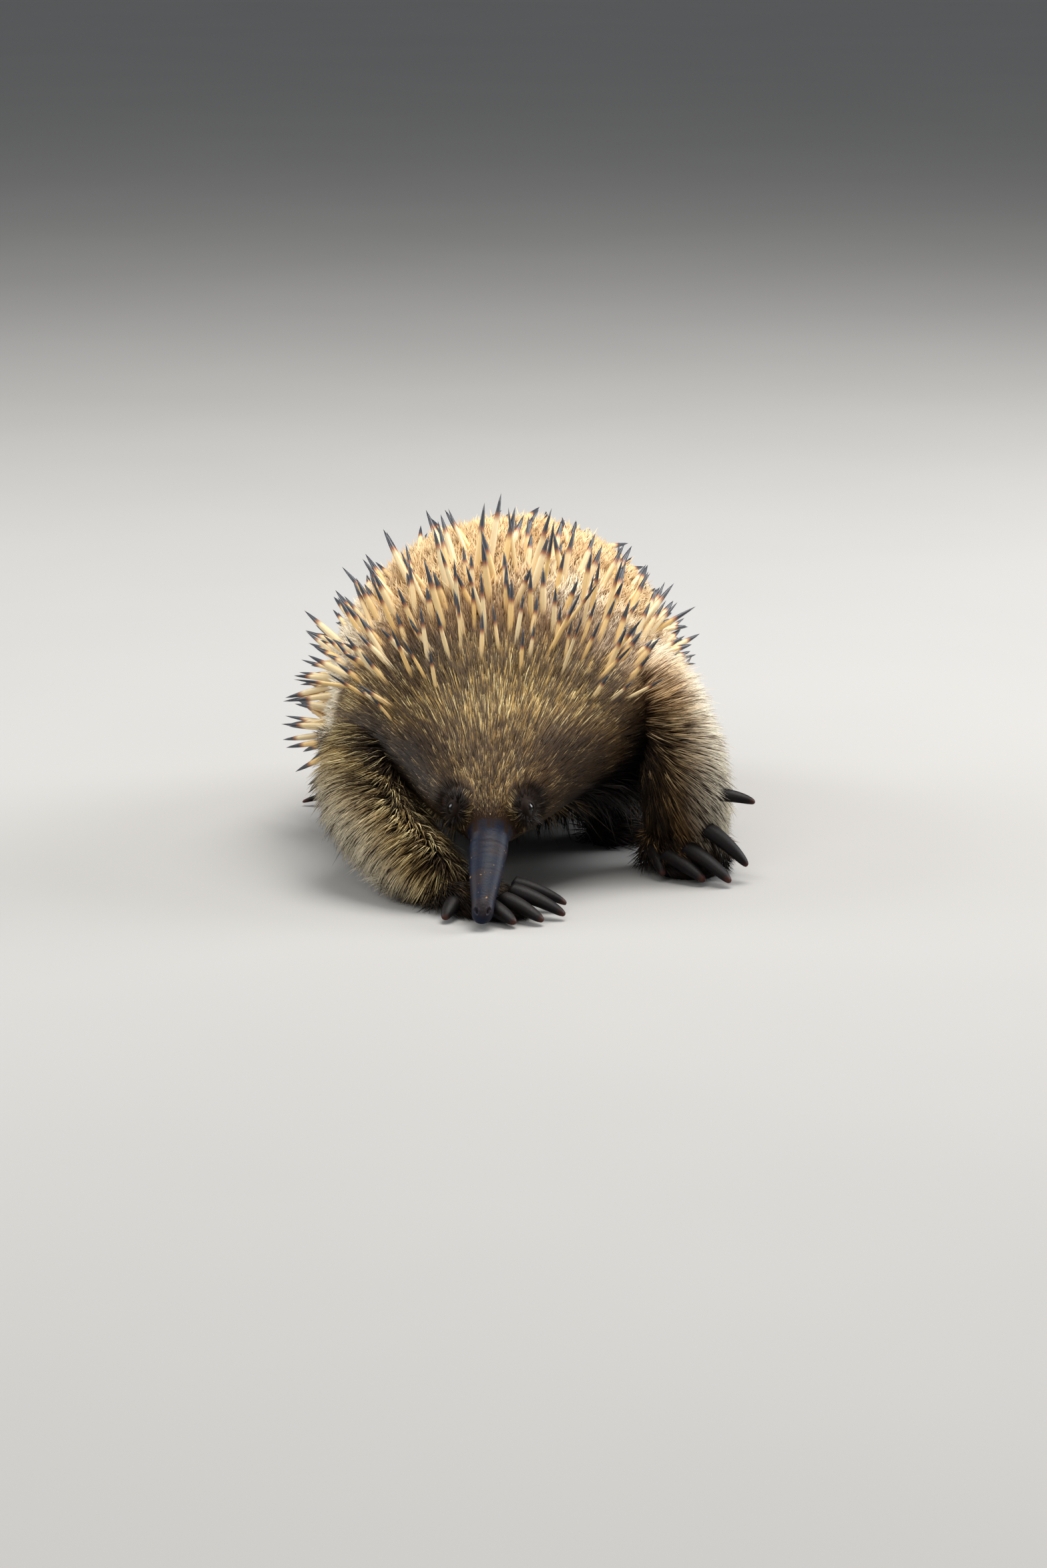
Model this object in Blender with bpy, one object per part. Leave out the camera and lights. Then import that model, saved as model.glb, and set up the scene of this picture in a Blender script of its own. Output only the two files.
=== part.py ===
"""A short-beaked echidna as a still, life-size model that walks with its bill to the floor.

Sizes are in millimetres and become metres in the meshes. The animal faces -Y, its left side
is +X, up is +Z and it stands on z = 0. A place along the body is given by y, counted from the
tip of the bill, and by x, counted from the middle of the trunk. At the end everything moves by
the same amount, so that the origin lies under the middle of the whole animal.

Every piece of flesh has the outline of its coat, out to the tips of the hairs and spines.
"""

import math

import bmesh
import bpy
from mathutils import Vector

MM = 0.001
GAP = 0.35
MIDDLE_X = -0.95
MIDDLE_Y = 176.8

BODY_SIDES = 28
LIMB_SIDES = 18
CLAW_SIDES = 8

BILL_TIP_ROUNDING = 5.0
TAIL_TIP_ROUNDING = 9.0

# Sections across the body, from the bill to the tail: name, sideways place of the middle,
# back (y, z), belly (y, z), half the width, and how far up from the belly the widest line lies.
BODY_SECTIONS = (
    ("bill_tip", -15.8, (0.4, 5.8), (4.6, 1.6), 4.3, 0.50),
    ("bill_front", -15.4, (7.6, 13.0), (12.0, 5.6), 4.9, 0.50),
    ("bill_middle", -14.4, (22.4, 23.2), (28.2, 13.6), 6.4, 0.50),
    ("bill_back", -13.2, (38.0, 33.0), (45.0, 21.2), 8.3, 0.50),
    ("bill_base", -12.6, (44.4, 38.8), (52.4, 24.4), 9.8, 0.50),
    ("eyes", -12.2, (52.5, 52.0), (63.5, 23.5), 18.0, 0.48),
    ("cheeks", -11.0, (62.0, 66.0), (77.0, 25.5), 31.0, 0.46),
    ("crown", -9.0, (78.0, 84.0), (93.0, 28.5), 46.5, 0.43),
    ("nape", -8.0, (97.0, 101.0), (109.0, 29.0), 64.0, 0.41),
    ("shoulders", -7.5, (120.0, 119.0), (128.0, 26.0), 84.0, 0.38),
    ("chest", -8.0, (148.0, 138.0), (150.0, 20.0), 97.5, 0.31),
    ("ribs", -7.5, (184.0, 151.0), (183.0, 17.0), 104.0, 0.27),
    ("waist", -4.5, (222.0, 154.0), (220.0, 17.0), 100.0, 0.26),
    ("loins", -1.0, (261.0, 148.0), (256.0, 19.0), 89.0, 0.28),
    ("hips", 1.0, (299.0, 127.5), (289.0, 25.0), 74.0, 0.33),
    ("rump", 2.0, (329.0, 98.5), (313.0, 33.0), 53.0, 0.36),
    ("tail_root", 2.5, (345.0, 73.0), (330.0, 41.0), 30.0, 0.42),
    ("tail_tip", 3.0, (355.0, 54.0), (345.0, 44.0), 11.0, 0.50),
)

# Pieces of the body: node, first section, last section, number of rings along it.
BODY_PIECES = (
    ("bill", "bill_tip", "bill_base", 9),
    ("head", "bill_base", "nape", 9),
    ("neck", "nape", "chest", 5),
    ("trunk", "chest", "hips", 9),
    ("rump", "hips", "tail_root", 6),
    ("tail", "tail_root", "tail_tip", 5),
)

# Middles of each limb's cross-sections with their radius, from inside the body to the wrist or
# ankle: (x, y, z, radius).
LIMBS = {
    "fore_leg_right": (
        (-38.0, 150.0, 72.0, 26.0),
        (-60.0, 124.0, 56.0, 31.0),
        (-68.0, 103.0, 43.0, 29.0),
        (-63.0, 84.0, 33.0, 25.0),
        (-50.0, 66.0, 22.0, 18.5),
        (-36.0, 51.0, 14.5, 12.5),
        (-28.0, 45.0, 11.5, 9.5),
    ),
    "fore_leg_left": (
        (42.0, 156.0, 84.0, 27.0),
        (59.0, 138.0, 74.0, 31.0),
        (71.0, 124.0, 58.0, 27.0),
        (76.0, 117.0, 42.0, 22.0),
        (78.0, 115.0, 23.0, 17.0),
    ),
    "hind_leg_right": (
        (-48.0, 262.0, 72.0, 34.0),
        (-58.0, 250.0, 45.0, 27.0),
        (-60.0, 242.0, 25.0, 19.5),
        (-60.0, 242.0, 13.0, 15.0),
    ),
    "hind_leg_left": (
        (42.0, 240.0, 70.0, 33.0),
        (43.0, 206.0, 47.0, 28.0),
        (44.0, 178.0, 26.0, 20.0),
        (45.0, 174.0, 13.0, 15.0),
    ),
}

# Feet as low domes with a flat sole: heel (x, y), toes (x, y), half the width, height at the
# heel, height at the toes, and how much higher the side towards +X stands, as a share.
FEET = {
    "fore_foot_right": ((-34.0, 51.0), (0.0, 26.0), 13.5, 17.0, 10.0, 0.00),
    "fore_foot_left": ((72.0, 131.0), (84.0, 94.0), 17.5, 32.0, 19.0, 0.22),
    "hind_foot_right": ((-52.0, 228.0), (-81.0, 260.0), 14.0, 21.0, 10.0, 0.00),
    "hind_foot_left": ((37.0, 160.0), (66.0, 192.0), 14.0, 21.0, 10.0, 0.00),
}

# Claws of each foot, from the first digit to the fifth: the middle and radius of the arc that
# their roots lie on, then for each claw its place round that arc and its heading in degrees
# from -Y towards +X, the heights of its root and tip, and its length.
CLAWS = {
    "fore_claw_right": (
        (-15.0, 38.0), 17.0,
        (
            (-54.0, -16.0, 6.0, 2.4, 14.0),
            (11.0, 36.0, 6.0, 2.4, 18.0),
            (41.0, 47.0, 7.5, 2.4, 21.0),
            (71.0, 60.0, 9.5, 2.6, 24.0),
            (101.0, 76.0, 11.0, 3.8, 22.0),
        ),
    ),
    "fore_claw_left": (
        (79.0, 111.0), 17.0,
        (
            (-68.0, 16.0, 11.0, 3.4, 16.0),
            (-26.0, 46.0, 10.0, 2.6, 21.0),
            (8.0, 48.0, 13.0, 2.8, 24.0),
            (42.0, 60.0, 21.0, 8.0, 22.0),
            (78.0, 70.0, 37.0, 35.0, 15.0),
        ),
    ),
    "hind_claw_right": (
        (-70.0, 250.0), 11.0,
        (
            (-36.0, -56.0, 5.0, 2.0, 11.0),
            (-74.0, -84.0, 6.5, 2.0, 27.0),
            (-106.0, -106.0, 6.5, 2.0, 22.0),
            (-138.0, -128.0, 5.5, 2.0, 15.0),
            (-172.0, -152.0, 4.5, 1.8, 11.0),
        ),
    ),
    "hind_claw_left": (
        (55.0, 182.0), 11.0,
        (
            (36.0, 56.0, 5.0, 2.0, 11.0),
            (74.0, 84.0, 6.5, 2.0, 27.0),
            (106.0, 106.0, 6.5, 2.0, 22.0),
            (138.0, 128.0, 5.5, 2.0, 15.0),
            (172.0, 152.0, 4.5, 1.8, 11.0),
        ),
    ),
}
CLAW_HALF_WIDTH = {"fore": 4.3, "hind": 2.8}
CLAW_SIZE_BY_DIGIT = (0.85, 1.0, 1.0, 1.0, 0.88)
CLAW_DEPTH_SHARE = 0.72
CLAW_ARCH = 0.08
CLAW_BLUNTNESS = 0.30

EYE_RADIUS = 3.8
EYES = {
    "eye_left": (3.6, 56.4, 42.8),
    "eye_right": (-28.0, 56.4, 42.8),
}

COLOURS = {
    "bill": ((0.105, 0.085, 0.080), 0.45),
    "fur": ((0.360, 0.230, 0.110), 0.90),
    "leg": ((0.180, 0.110, 0.060), 0.90),
    "claw": ((0.030, 0.026, 0.026), 0.35),
    "eye": ((0.010, 0.008, 0.008), 0.08),
}


def clear_scene():
    for obj in list(bpy.data.objects):
        bpy.data.objects.remove(obj, do_unlink=True)


def material(name):
    found = bpy.data.materials.get(name)
    if found:
        return found
    made = bpy.data.materials.new(name)
    made.use_nodes = True
    colour, roughness = COLOURS[name]
    shader = made.node_tree.nodes["Principled BSDF"]
    shader.inputs["Base Color"].default_value = (*colour, 1.0)
    shader.inputs["Roughness"].default_value = roughness
    shader.inputs["Metallic"].default_value = 0.0
    made.diffuse_color = (*colour, 1.0)
    return made


def curve_through(knots, values, place):
    """The value at a place on the smooth curve through the values at their knots."""
    last = len(knots) - 1
    place = min(max(place, knots[0]), knots[last])
    i = max(k for k in range(last) if knots[k] <= place)

    def slope(k):
        before, after = max(k - 1, 0), min(k + 1, last)
        return (values[after] - values[before]) / (knots[after] - knots[before])

    span = knots[i + 1] - knots[i]
    t = (place - knots[i]) / span
    return (
        (2 * t**3 - 3 * t**2 + 1) * values[i]
        + (t**3 - 2 * t**2 + t) * span * slope(i)
        + (3 * t**2 - 2 * t**3) * values[i + 1]
        + (t**3 - t**2) * span * slope(i + 1)
    )


def distances(points):
    """How far each point lies along the line through all of them."""
    run = [0.0]
    for before, after in zip(points, points[1:]):
        run.append(run[-1] + (after - before).length)
    return run


def tube(name, rings):
    """A closed mesh through rings of points. A ring of one point closes it as a pole."""
    form = bmesh.new()
    rows = [[form.verts.new(point * MM) for point in ring] for ring in rings]
    for one, two in zip(rows, rows[1:]):
        count = max(len(one), len(two))
        for i in range(count):
            j = (i + 1) % count
            corners = [one[i % len(one)], one[j % len(one)], two[j % len(two)], two[i % len(two)]]
            form.faces.new(list(dict.fromkeys(corners)))
    for row in (rows[0], rows[-1]):
        if len(row) > 1:
            form.faces.new(row)
    bmesh.ops.recalc_face_normals(form, faces=form.faces)
    mesh = bpy.data.meshes.new(name)
    form.to_mesh(mesh)
    form.free()
    obj = bpy.data.objects.new(name, mesh)
    bpy.context.scene.collection.objects.link(obj)
    return obj


def as_cutter(obj):
    obj.hide_render = True
    obj.display_type = "WIRE"
    return obj


def cut(obj, cutter):
    modifier = obj.modifiers.new("cut_" + cutter.name, "BOOLEAN")
    modifier.operation = "DIFFERENCE"
    modifier.solver = "EXACT"
    modifier.object = cutter


class Body:
    """The coat's outline of the head, trunk and tail, as rings at a place along the middle line."""

    def __init__(self):
        middles = []
        for _, x, back, belly, _, level in BODY_SECTIONS:
            back, belly = Vector((x, *back)), Vector((x, *belly))
            middles.append(belly.lerp(back, level))
        self.knots = distances(middles)
        self.places = {row[0]: knot for row, knot in zip(BODY_SECTIONS, self.knots)}
        self.end = self.knots[-1]

    def along(self, read, place):
        return curve_through(self.knots, [read(row) for row in BODY_SECTIONS], place)

    def rounding(self, place):
        """Shrinks the rings to a point at both tips, as a quarter of an ellipse does."""
        share = 1.0
        for reach, depth in (
            (place - self.knots[0], BILL_TIP_ROUNDING),
            (self.end - place, TAIL_TIP_ROUNDING),
        ):
            if reach < depth:
                share *= math.sqrt(max(0.0, 1.0 - (1.0 - reach / depth) ** 2))
        return share

    def ring(self, place, grow=0.0):
        x = self.along(lambda row: row[1], place)
        back = Vector((x, self.along(lambda row: row[2][0], place),
                       self.along(lambda row: row[2][1], place)))
        belly = Vector((x, self.along(lambda row: row[3][0], place),
                        self.along(lambda row: row[3][1], place)))
        half_width = self.along(lambda row: row[4], place)
        level = self.along(lambda row: row[5], place)
        middle = belly.lerp(back, level)
        share = self.rounding(place)
        if share < 0.02:
            return [middle]
        up = (back - belly).normalized()
        above = (back - middle).length * share + grow
        below = (middle - belly).length * share + grow
        aside = half_width * share + grow
        points = []
        for i in range(BODY_SIDES):
            turn = 2 * math.pi * i / BODY_SIDES
            height = above if math.sin(turn) > 0 else below
            side = Vector((math.cos(turn) * aside, 0, 0))
            points.append(middle + side + up * math.sin(turn) * height)
        return points

    def places_between(self, first, last, count):
        """Places from one section to another, closer together at the two tips."""
        start, end = self.places[first], self.places[last]
        steps = [i / count for i in range(count + 1)]
        if start == self.knots[0]:
            steps = [step**1.8 for step in steps]
        if end == self.end:
            steps = [1 - (1 - step) ** 1.8 for step in steps]
        return [start + (end - start) * step for step in steps]


def make_body(body):
    pieces = []
    for name, first, last, count in BODY_PIECES:
        places = body.places_between(first, last, count)
        if first != BODY_SECTIONS[0][0]:
            places[0] += GAP
        piece = tube(name, [body.ring(place) for place in places])
        piece.data.materials.append(material("bill" if name == "bill" else "fur"))
        pieces.append(piece)
    return pieces


def make_body_cutter(body):
    places = [body.places_between(*piece[1:]) for piece in BODY_PIECES]
    joined = places[0] + [place for run in places[1:] for place in run[1:]]
    rings = [body.ring(place, GAP) for place in joined]
    return as_cutter(tube("body_cutter", rings))


def limb_rings(rows, count, grow=0.0):
    """Round rings along the smooth line through a limb's rows, each square to that line."""
    middles = [Vector(row[:3]) for row in rows]
    knots = distances(middles)
    places = [knots[-1] * i / count for i in range(count + 1)]
    line = [
        Vector([curve_through(knots, [middle[axis] for middle in middles], place) for axis in range(3)])
        for place in places
    ]
    radii = [curve_through(knots, [row[3] for row in rows], place) for place in places]
    rings = []
    side = Vector((1, 0, 0))
    for i, middle in enumerate(line):
        ahead = (line[min(i + 1, count)] - line[max(i - 1, 0)]).normalized()
        side = (side - ahead * side.dot(ahead)).normalized()
        across = ahead.cross(side)
        radius = radii[i] + grow
        ring = []
        for k in range(LIMB_SIDES):
            turn = 2 * math.pi * k / LIMB_SIDES
            ring.append(middle + (side * math.cos(turn) + across * math.sin(turn)) * radius)
        rings.append(ring)
    return rings


def foot_rings(heel, toes, half_width, heel_height, toe_height, tilt, grow=0.0):
    """Rings square to the foot's length, dome-shaped above and flat on the floor below."""
    heel, toes = Vector((*heel, 0)), Vector((*toes, 0))
    ahead = (toes - heel).normalized()
    side = Vector((-ahead.y, ahead.x, 0))
    if side.x < 0:
        side = -side
    count = 10
    rings = []
    for i in range(count + 1):
        turn = math.pi * i / count
        along = 0.5 - 0.5 * math.cos(turn)
        middle = heel.lerp(toes, along)
        height = heel_height + (toe_height - heel_height) * along + grow
        if i in (0, count):
            middle += ahead * (grow if i else -grow)
            rings.append([middle + Vector((0, 0, height * 0.3))])
            continue
        share = math.sin(turn) ** 0.6
        ring = []
        for k in range(LIMB_SIDES):
            angle = 2 * math.pi * k / LIMB_SIDES
            out = math.cos(angle)
            rise = height * (1 + tilt * out) * (0.36 + 0.64 * math.sin(angle) * share)
            floor = -grow
            ring.append(
                middle + side * out * (half_width * share + grow) + Vector((0, 0, max(floor, rise)))
            )
        rings.append(ring)
    return rings


def make_limbs(body_cutter):
    """Legs and feet, with the shapes that claws have to stay out of, by the foot's name."""
    keep_out = {}
    for name, sizes in FEET.items():
        foot = tube(name, foot_rings(*sizes))
        foot.data.materials.append(material("leg"))
        keep_out[name] = [as_cutter(tube(name + "_cutter", foot_rings(*sizes, grow=GAP)))]
    for name, rows in LIMBS.items():
        leg = tube(name, limb_rings(rows, 9))
        leg.data.materials.append(material("leg"))
        around_foot = keep_out[name.replace("leg", "foot")]
        cut(leg, body_cutter)
        cut(leg, around_foot[0])
        if name == "fore_leg_left":
            around_foot.append(as_cutter(tube(name + "_cutter", limb_rings(rows, 9, GAP))))
    return keep_out


def claw_rings(root, tip, arch, half_width):
    """Rings of a blade that is wider than deep, arched upwards and tapering to a blunt point."""
    count = 5
    ahead = (tip - root).normalized()
    side = ahead.cross(Vector((0, 0, 1))).normalized()
    up = side.cross(ahead)
    rings = []
    for i in range(count):
        along = i / count
        middle = root.lerp(tip, along) + up * arch * 4 * along * (1 - along)
        taper = (1 - along) ** CLAW_BLUNTNESS
        ring = []
        for k in range(CLAW_SIDES):
            turn = 2 * math.pi * k / CLAW_SIDES
            ring.append(
                middle
                + side * math.cos(turn) * half_width * taper
                + up * math.sin(turn) * half_width * CLAW_DEPTH_SHARE * taper
            )
        rings.append(ring)
    rings.append([tip])
    return rings


def make_claws(keep_out):
    for name, (middle, radius, rows) in CLAWS.items():
        for number, (place, heading, root_height, tip_height, length) in enumerate(rows, start=1):
            place, heading = math.radians(place), math.radians(heading)
            root = Vector((
                middle[0] + radius * math.sin(place),
                middle[1] - radius * math.cos(place),
                root_height,
            ))
            level = math.sqrt(length**2 - (root_height - tip_height) ** 2)
            tip = Vector((
                root.x + level * math.sin(heading),
                root.y - level * math.cos(heading),
                tip_height,
            ))
            half_width = CLAW_HALF_WIDTH[name[:4]] * CLAW_SIZE_BY_DIGIT[number - 1]
            rings = claw_rings(root, tip, length * CLAW_ARCH, half_width)
            claw = tube(f"{name}_{number}", rings)
            claw.data.materials.append(material("claw"))
            for cutter in keep_out[name.replace("claw", "foot")]:
                cut(claw, cutter)


def ball(name, middle, radius):
    form = bmesh.new()
    bmesh.ops.create_uvsphere(form, u_segments=12, v_segments=8, radius=radius * MM)
    mesh = bpy.data.meshes.new(name)
    form.to_mesh(mesh)
    form.free()
    obj = bpy.data.objects.new(name, mesh)
    obj.location = Vector(middle) * MM
    bpy.context.scene.collection.objects.link(obj)
    return obj


def make_eyes(head):
    for name, middle in EYES.items():
        eye = ball(name, middle, EYE_RADIUS)
        eye.data.materials.append(material("eye"))
        cut(head, as_cutter(ball(name + "_socket", middle, EYE_RADIUS + GAP)))


def stand_over_origin():
    """Moves everything so that the origin lies under the middle of the animal."""
    for obj in bpy.data.objects:
        obj.location -= Vector((MIDDLE_X, MIDDLE_Y, 0)) * MM


def main():
    clear_scene()
    body = Body()
    pieces = make_body(body)
    head = next(piece for piece in pieces if piece.name == "head")
    keep_out = make_limbs(make_body_cutter(body))
    make_claws(keep_out)
    make_eyes(head)
    stand_over_origin()


main()
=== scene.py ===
"""A short-beaked echidna at life size: skin, bill, eyes, claws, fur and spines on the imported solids.

Sizes are millimetres in the animal's own coordinates: y runs back from the tip of the bill, x
counts from the middle of the trunk towards its left side and z is up. placed() turns them into
metres in the frame.
"""

import math

import bpy
import numpy as np
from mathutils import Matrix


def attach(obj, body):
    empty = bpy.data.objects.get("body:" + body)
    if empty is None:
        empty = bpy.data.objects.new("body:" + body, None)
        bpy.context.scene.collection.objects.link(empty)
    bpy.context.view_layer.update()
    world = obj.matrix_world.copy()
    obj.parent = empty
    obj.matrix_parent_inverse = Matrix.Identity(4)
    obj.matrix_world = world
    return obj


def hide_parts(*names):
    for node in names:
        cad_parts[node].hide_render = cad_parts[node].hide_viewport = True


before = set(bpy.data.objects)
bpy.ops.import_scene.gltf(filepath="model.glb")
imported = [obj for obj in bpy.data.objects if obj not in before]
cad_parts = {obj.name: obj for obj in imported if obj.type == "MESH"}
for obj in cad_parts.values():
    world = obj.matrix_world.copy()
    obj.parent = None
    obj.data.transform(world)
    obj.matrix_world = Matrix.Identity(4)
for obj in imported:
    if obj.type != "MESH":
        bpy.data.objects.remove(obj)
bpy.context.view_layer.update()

MM = 0.001
MIDDLE = np.array([-0.95, 176.8, 0.0])
GOLDEN = 0.6180339887

# The side of a strand's patch on the UV map, how deep roots lie in the skin, and the lowest
# points of hairs and claws above the floor.
PATCH = 0.003
ROOT_DEPTH = 0.5
LOWEST_HAIR = 0.15
LOWEST_CLAW = 0.05

# Sections across the body out to the tips of the coat: sideways place of the middle, back (y, z),
# belly (y, z), half the width, how far up from the belly the widest line lies, and how deep the
# skin lies under the coat on the back and on the belly.
SECTIONS = np.array([
    (-15.8, 0.4, 5.8, 4.6, 1.6, 4.3, 0.50, 0.0, 0.0),
    (-15.4, 7.6, 13.0, 12.0, 5.6, 4.9, 0.50, 0.0, 0.0),
    (-14.4, 22.4, 23.2, 28.2, 13.6, 7.2, 0.50, 0.0, 0.0),
    (-13.2, 38.0, 33.0, 45.0, 21.2, 8.7, 0.50, 0.0, 0.0),
    (-12.6, 44.4, 38.8, 52.4, 24.4, 9.8, 0.50, 0.8, 0.8),
    (-12.2, 52.5, 52.0, 63.5, 23.5, 18.0, 0.48, 2.6, 2.4),
    (-11.0, 62.0, 66.0, 77.0, 25.5, 31.0, 0.46, 4.6, 4.0),
    (-9.0, 78.0, 84.0, 93.0, 28.5, 46.5, 0.43, 6.5, 6.0),
    (-8.0, 97.0, 101.0, 109.0, 29.0, 64.0, 0.41, 9.0, 8.0),
    (-7.5, 120.0, 119.0, 128.0, 26.0, 84.0, 0.38, 11.0, 9.0),
    (-8.0, 148.0, 138.0, 150.0, 20.0, 97.5, 0.31, 12.0, 9.0),
    (-7.5, 184.0, 151.0, 183.0, 17.0, 104.0, 0.27, 12.0, 9.0),
    (-4.5, 222.0, 154.0, 220.0, 17.0, 100.0, 0.26, 11.5, 9.0),
    (-1.0, 261.0, 148.0, 256.0, 19.0, 89.0, 0.28, 11.5, 9.0),
    (1.0, 299.0, 127.5, 289.0, 25.0, 74.0, 0.33, 11.5, 9.0),
    (2.0, 329.0, 98.5, 313.0, 33.0, 53.0, 0.36, 11.0, 9.0),
    (2.5, 345.0, 73.0, 330.0, 41.0, 30.0, 0.42, 10.0, 8.0),
    (3.0, 355.0, 54.0, 345.0, 44.0, 11.0, 0.50, 5.5, 5.0),
])
BILL_TIP_ROUNDING = 5.0
TAIL_TIP_ROUNDING = 9.0
FLANK_DEPTH = 13.0
FUR_LINE = 52.0
BODY_COLUMNS = 112

# The low swellings over the eyes: place along the head, turns round it and height.
BROW_PLACE = 68.0
BROW_TURNS = (math.radians(55), math.radians(125))
BROW_HEIGHT = 1.4

# Middles of each limb's cross-sections, with the radius of its coat.
LIMBS = {
    "fore_leg_right": np.array([
        (-38.0, 150.0, 72.0, 26.0), (-60.0, 124.0, 56.0, 31.0), (-68.0, 103.0, 43.0, 29.0),
        (-63.0, 84.0, 33.0, 25.0), (-50.0, 66.0, 22.0, 18.5), (-36.0, 51.0, 14.5, 12.5),
        (-28.0, 45.0, 11.5, 9.5),
    ]),
    "fore_leg_left": np.array([
        (42.0, 156.0, 84.0, 27.0), (59.0, 138.0, 74.0, 31.0), (71.0, 124.0, 58.0, 27.0),
        (76.0, 117.0, 42.0, 22.0), (78.0, 115.0, 23.0, 17.0),
    ]),
    "hind_leg_right": np.array([
        (-48.0, 262.0, 72.0, 34.0), (-58.0, 250.0, 45.0, 27.0), (-60.0, 242.0, 25.0, 19.5),
        (-60.0, 242.0, 13.0, 15.0),
    ]),
    "hind_leg_left": np.array([
        (42.0, 240.0, 70.0, 33.0), (43.0, 206.0, 47.0, 28.0), (44.0, 178.0, 26.0, 20.0),
        (45.0, 174.0, 13.0, 15.0),
    ]),
}
LIMB_DEPTH_TOP = 14.0
LIMB_DEPTH_END = 4.0
LIMB_ROWS = 40
LIMB_COLUMNS = 48

# Feet: heel (x, y), toes (x, y), half the width, height at heel and toes, tilt towards +X.
FEET = {
    "fore_foot_right": ((-34.0, 51.0), (0.0, 26.0), 13.5, 17.0, 10.0, 0.00),
    "fore_foot_left": ((72.0, 131.0), (84.0, 94.0), 17.5, 32.0, 19.0, 0.22),
    "hind_foot_right": ((-52.0, 228.0), (-81.0, 260.0), 14.0, 21.0, 10.0, 0.00),
    "hind_foot_left": ((37.0, 160.0), (66.0, 192.0), 14.0, 21.0, 10.0, 0.00),
}
FOOT_DEPTH = 2.0
FOOT_ROWS = 26
FOOT_COLUMNS = 40

# Claws of each foot: the middle and radius of the arc that their roots lie on, then each claw's
# place round it and its heading in degrees from -Y to +X, root and tip height, and length.
HIND_DIGITS = (
    (36.0, 56.0, 5.0, 2.0, 11.0), (74.0, 84.0, 6.5, 2.0, 27.0), (106.0, 106.0, 6.5, 2.0, 22.0),
    (138.0, 128.0, 5.5, 2.0, 15.0), (172.0, 152.0, 4.5, 1.8, 11.0),
)
CLAWS = {
    "fore_claw_right": ((-15.0, 38.0), 17.0, (
        (-54.0, -16.0, 6.0, 2.4, 14.0), (11.0, 36.0, 6.0, 2.4, 18.0), (41.0, 47.0, 7.5, 2.4, 21.0),
        (71.0, 60.0, 9.5, 2.6, 24.0), (101.0, 76.0, 11.0, 3.8, 22.0),
    )),
    "fore_claw_left": ((79.0, 111.0), 17.0, (
        (-68.0, 16.0, 11.0, 3.4, 16.0), (-26.0, 46.0, 10.0, 2.6, 21.0), (8.0, 48.0, 13.0, 2.8, 24.0),
        (42.0, 60.0, 21.0, 8.0, 22.0), (78.0, 70.0, 37.0, 35.0, 15.0),
    )),
    "hind_claw_right": ((-70.0, 250.0), 11.0, tuple(
        (-place, -heading, *sizes) for place, heading, *sizes in HIND_DIGITS
    )),
    "hind_claw_left": ((55.0, 182.0), 11.0, HIND_DIGITS),
}
CLAW_HALF_WIDTH = {"fore": 4.8, "hind": 3.0}
CLAW_SIZE_BY_DIGIT = (0.85, 1.0, 1.0, 1.0, 0.88)
CLAW_ARCH = 0.03
CLAW_BLUNTNESS = 0.32
CLAW_BURIED = 0.22
CLAW_DEPTH_ABOVE = 0.84
CLAW_DEPTH_BELOW = 0.6

# Each eye's middle and the direction it looks in, then how wide its lids open, in degrees off
# that direction, and where they end.
EYE_RADIUS = 3.8
EYES = {
    "left": (np.array([3.6, 56.4, 42.8]), np.array([0.80, -0.52, 0.30])),
    "right": (np.array([-28.0, 56.4, 42.8]), np.array([-0.80, -0.52, 0.30])),
}
LID_OPENING = 37.0
LID_EDGE = math.radians(104)

ACROSS = np.array([1.0, 0, 0])
UPWARD = np.array([0, 0, 1.0])


def placed(points):
    """Own millimetres to metres in the frame: (p - middle) / 1000."""
    return (points - MIDDLE) * MM


def unit(vectors):
    """Each vector divided by its length."""
    return vectors / np.maximum(np.linalg.norm(vectors, axis=-1, keepdims=True), 1e-9)


def dot(one, two):
    """The scalar product over the last axis, kept as a column."""
    return np.sum(one * two, axis=-1, keepdims=True)


def smooth(low, high, values):
    """0 at low, 1 at high and 3t^2 - 2t^3 between. With low above high it falls instead."""
    share = np.clip((values - low) / (high - low), 0.0, 1.0)
    return share * share * (3.0 - 2.0 * share)


def bell(distance, width):
    """exp(-(distance / width)^2): 1 in the middle, falling to nothing a few widths away."""
    return np.exp(-((distance / width) ** 2))


def run_lengths(points):
    """How far along its line each point lies, by the straight steps between points."""
    steps = np.linalg.norm(np.diff(points, axis=0), axis=1)
    return np.concatenate([[0.0], np.cumsum(steps)])


def curve_through(knots, table, places):
    """Cubic Hermite curve through each column of a table, with slopes from the two neighbours."""
    last = len(knots) - 1
    before = np.maximum(np.arange(last + 1) - 1, 0)
    after = np.minimum(np.arange(last + 1) + 1, last)
    slopes = (table[after] - table[before]) / (knots[after] - knots[before])[:, None]
    i = np.clip(np.searchsorted(knots, places, side="right") - 1, 0, last - 1)
    span = (knots[i + 1] - knots[i])[:, None]
    t = (places - knots[i])[:, None] / span
    return (
        (2 * t**3 - 3 * t**2 + 1) * table[i]
        + (t**3 - 2 * t**2 + t) * span * slopes[i]
        + (3 * t**2 - 2 * t**3) * table[i + 1]
        + (t**3 - t**2) * span * slopes[i + 1]
    )


def section_middles(rows):
    """The middle of each body section: the point between belly and back at its widest line."""
    back = rows[:, (0, 1, 2)]
    belly = rows[:, (0, 3, 4)]
    return belly + (back - belly) * rows[:, 6:7]


KNOTS = run_lengths(section_middles(SECTIONS))
BODY_END = KNOTS[-1]


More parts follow.
